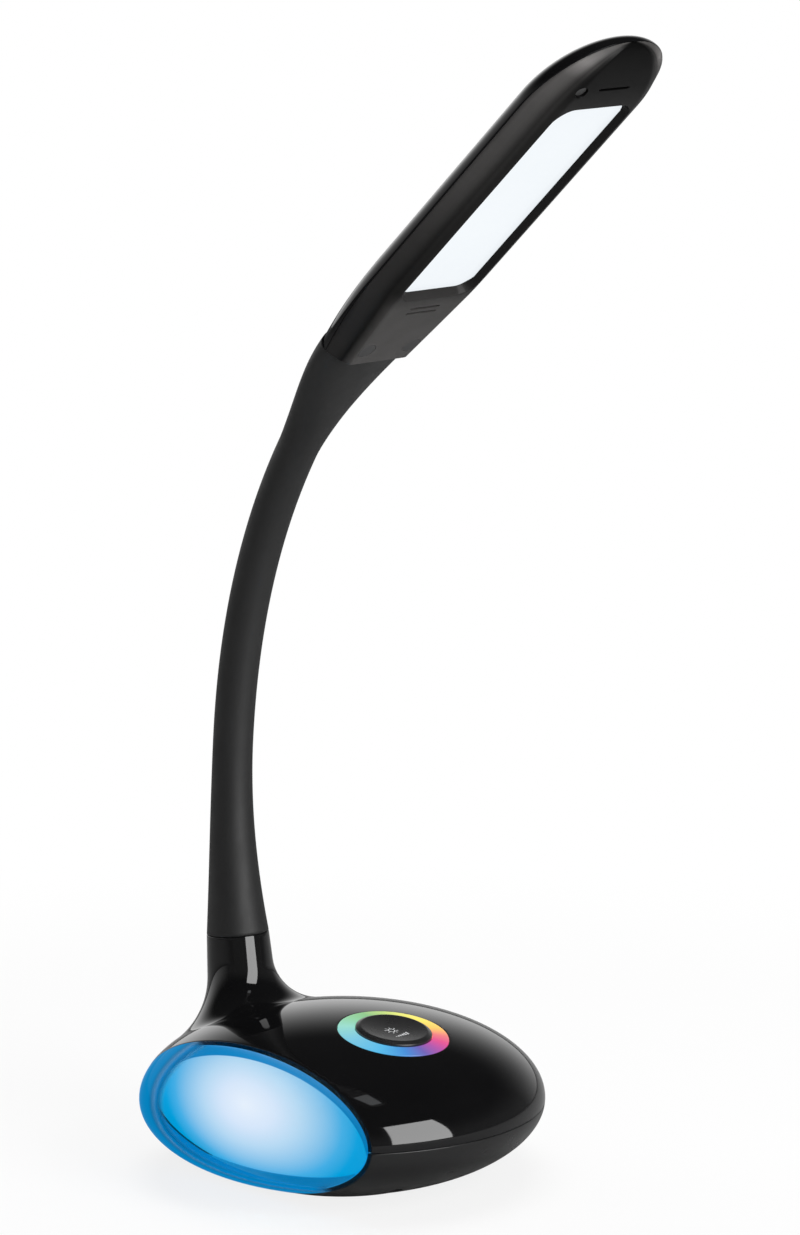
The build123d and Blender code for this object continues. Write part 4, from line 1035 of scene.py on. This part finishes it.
lit_face, lit_frame = diffuser_sheets()
rigid = (
    ("base_dome", dome_shell(), looks["gloss_black"], "gloss_black_shell", "base", "base_top_shell"),
    ("base_bowl", bowl_shell(), looks["satin_black"], "satin_black_shell", "base", "base_bottom_shell"),
    ("window_clear", lens_shell(), lens_material(), "window_lens", "base", "window_lens"),
    ("window_glow", lit_face, glow_blue, "window_diffuser", "base", "window_diffuser"),
    ("window_frame", lit_frame, frame_blue, "window_diffuser", "base", None),
    ("hue_ring", ring_shell(), ring_hues(), "colour_ring", "base", "colour_ring"),
    ("dimmer_cap", button_sheet(), looks["button_black"], "button_black", "button", "dimmer_button"),
    ("dimmer_sign", icon_sheet(), looks["icon_white"], "button_black", "button", None),
    ("head_back_shell", crown_shell(), looks["crown_black"], "head_gloss_shell", "head",
     "head_top_housing"),
    ("head_cover", cover_shell(), painted_sheen_cover_look(), "head_satin_cover", "head", "head_bottom_shell"),
)
for name, sheet, material, slot, body, node in rigid:
    piece = make(name, sheet, material)
    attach(piece, body)
    if node:
        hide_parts(node)
neck_pieces("sleeve", seam_gap, neck_length - seam_gap, sleeve_size, looks["silicone"],
            "neck_sleeve")
neck_pieces("lead", -lead_below, neck_length + lead_above, lambda s: (lead_radius, lead_radius),
            looks["foot_rubber"], "neck_lead", 6.0, 12)


# ------------ stage, light and camera
floor_white = (0.84, 1.0)  # how white the floor looks to the camera, near the lamp and further off
floor_fade = (0.32, 0.60)  # metres from the origin between which that changes
floor_dimming = 0.56  # how much it loses in reflections
horizon, horizon_fade = 0.88, (0.10, 0.60)  # strength at the horizon, and where it darkens upwards
back_share, front_share = 1.7, 0.20  # of the horizon's strength, behind the lamp and in front of it
room_strength = 0.35  # of the world as a light

photo_height, focal_pixels = 1235, 5800  # of the photo, and of the camera fitted to it
camera_spot, camera_way = (1.8050, -1.7073, 0.7284), (-0.7064, 0.6821, -0.1891)


def mix_shaders(share, first, second):
    """Mix of two shaders by a share."""
    return add_node(share, "MixShader", {0: share, 1: first, 2: second}).outputs[0]


def floor_material():
    """White floor: a soft shadow near the lamp, plain white further off, dimmer in reflections."""
    material, shader, place = node_material("floor_white")
    fill(shader, {"Base Color": two_colours(noise(place, 6.0), (0.72,) * 3, (0.74,) * 3),
                  "Roughness": 0.9, "Specular IOR Level": 0.0})
    white, dark = (add_node(place, "Emission", {"Strength": glow}).outputs[0] for glow in (1.0, 0.0))
    away = add_node(place, "VectorMath", {0: place}, operation="LENGTH").outputs["Value"]
    ray = add_node(place, "LightPath", {}).outputs
    seen = compute("MULTIPLY", remap(away, *floor_white, *floor_fade, "SMOOTHSTEP"), ray["Is Camera Ray"])
    mirrored = compute("MULTIPLY", ray["Is Glossy Ray"], floor_dimming)
    surface = mix_shaders(mirrored, mix_shaders(seen, shader.outputs[0], white), dark)
    fill(material.node_tree.nodes["Material Output"], {"Surface": surface})
    return material


def make_floor(size=14000.0):
    """Large floor at the lamp's foot."""
    stops = np.linspace(-size, size, 9)
    rows = [[(x, y, 0.0) for y in stops] for x in stops]
    return make("floor", outward(grid(rows), np.array([0, 0, -1.0])), floor_material())


def area_light(name, spot, target, size, watts, mirrored=True):
    """Softbox at a spot in metres, facing a target."""
    lamp = bpy.data.lights.new(name, "AREA")
    lamp.shape, lamp.size, lamp.size_y = "RECTANGLE", *size
    lamp.energy = watts
    thing = bpy.data.objects.new(name, lamp)
    thing.location = spot
    aim = Vector(target) - Vector(spot)
    thing.rotation_euler = aim.to_track_quat("-Z", "Y").to_euler()
    thing.visible_camera = False
    thing.visible_glossy = mirrored
    bpy.context.scene.collection.objects.link(thing)


def world_light():
    """Plain room: white for the camera, a pale horizon and a dark ceiling in reflections."""
    world = bpy.data.worlds.new("studio")
    bpy.context.scene.world = world
    world.use_nodes = True
    tree = world.node_tree
    tree.nodes.clear()
    way = add_node(tree, "TexCoord", {}).outputs["Generated"]
    split = add_node(tree, "SeparateXYZ", {0: way}).outputs
    ray = add_node(tree, "LightPath", {}).outputs
    pale = remap(split["Z"], horizon, 0.03, *horizon_fade, "SMOOTHSTEP")
    ahead = remap(split["X"], back_share, front_share, -0.9, 0.1)
    room, mirrored, white = (add_node(tree, "Background", {"Strength": strength}).outputs[0]
                             for strength in (room_strength, compute("MULTIPLY", pale, ahead), 1.0))
    surface = mix_shaders(ray["Is Camera Ray"], mix_shaders(ray["Is Glossy Ray"], room, mirrored), white)
    add_node(tree, "OutputWorld", {"Surface": surface})


make_floor()
area_light("top_box", (-0.3, 0.3, 2.4), (0, 0, 0.1), (1.6, 1.6), 44, mirrored=False)
area_light("front_box", (1.55, 0.03, 0.78), (0, 0.03, 0.78), (0.98, 1.46), 33)
world_light()

camera_data = bpy.data.cameras.new("camera")
camera_data.sensor_width = 36.0
camera_data.lens = focal_pixels * camera_data.sensor_width / photo_height
camera_data.clip_end = 100
camera = bpy.data.objects.new("camera", camera_data)
camera.location = camera_spot
camera.rotation_euler = Vector(camera_way).to_track_quat("-Z", "Y").to_euler()
bpy.context.scene.collection.objects.link(camera)
bpy.context.scene.camera = camera
bpy.context.scene.view_settings.view_transform = "Standard"
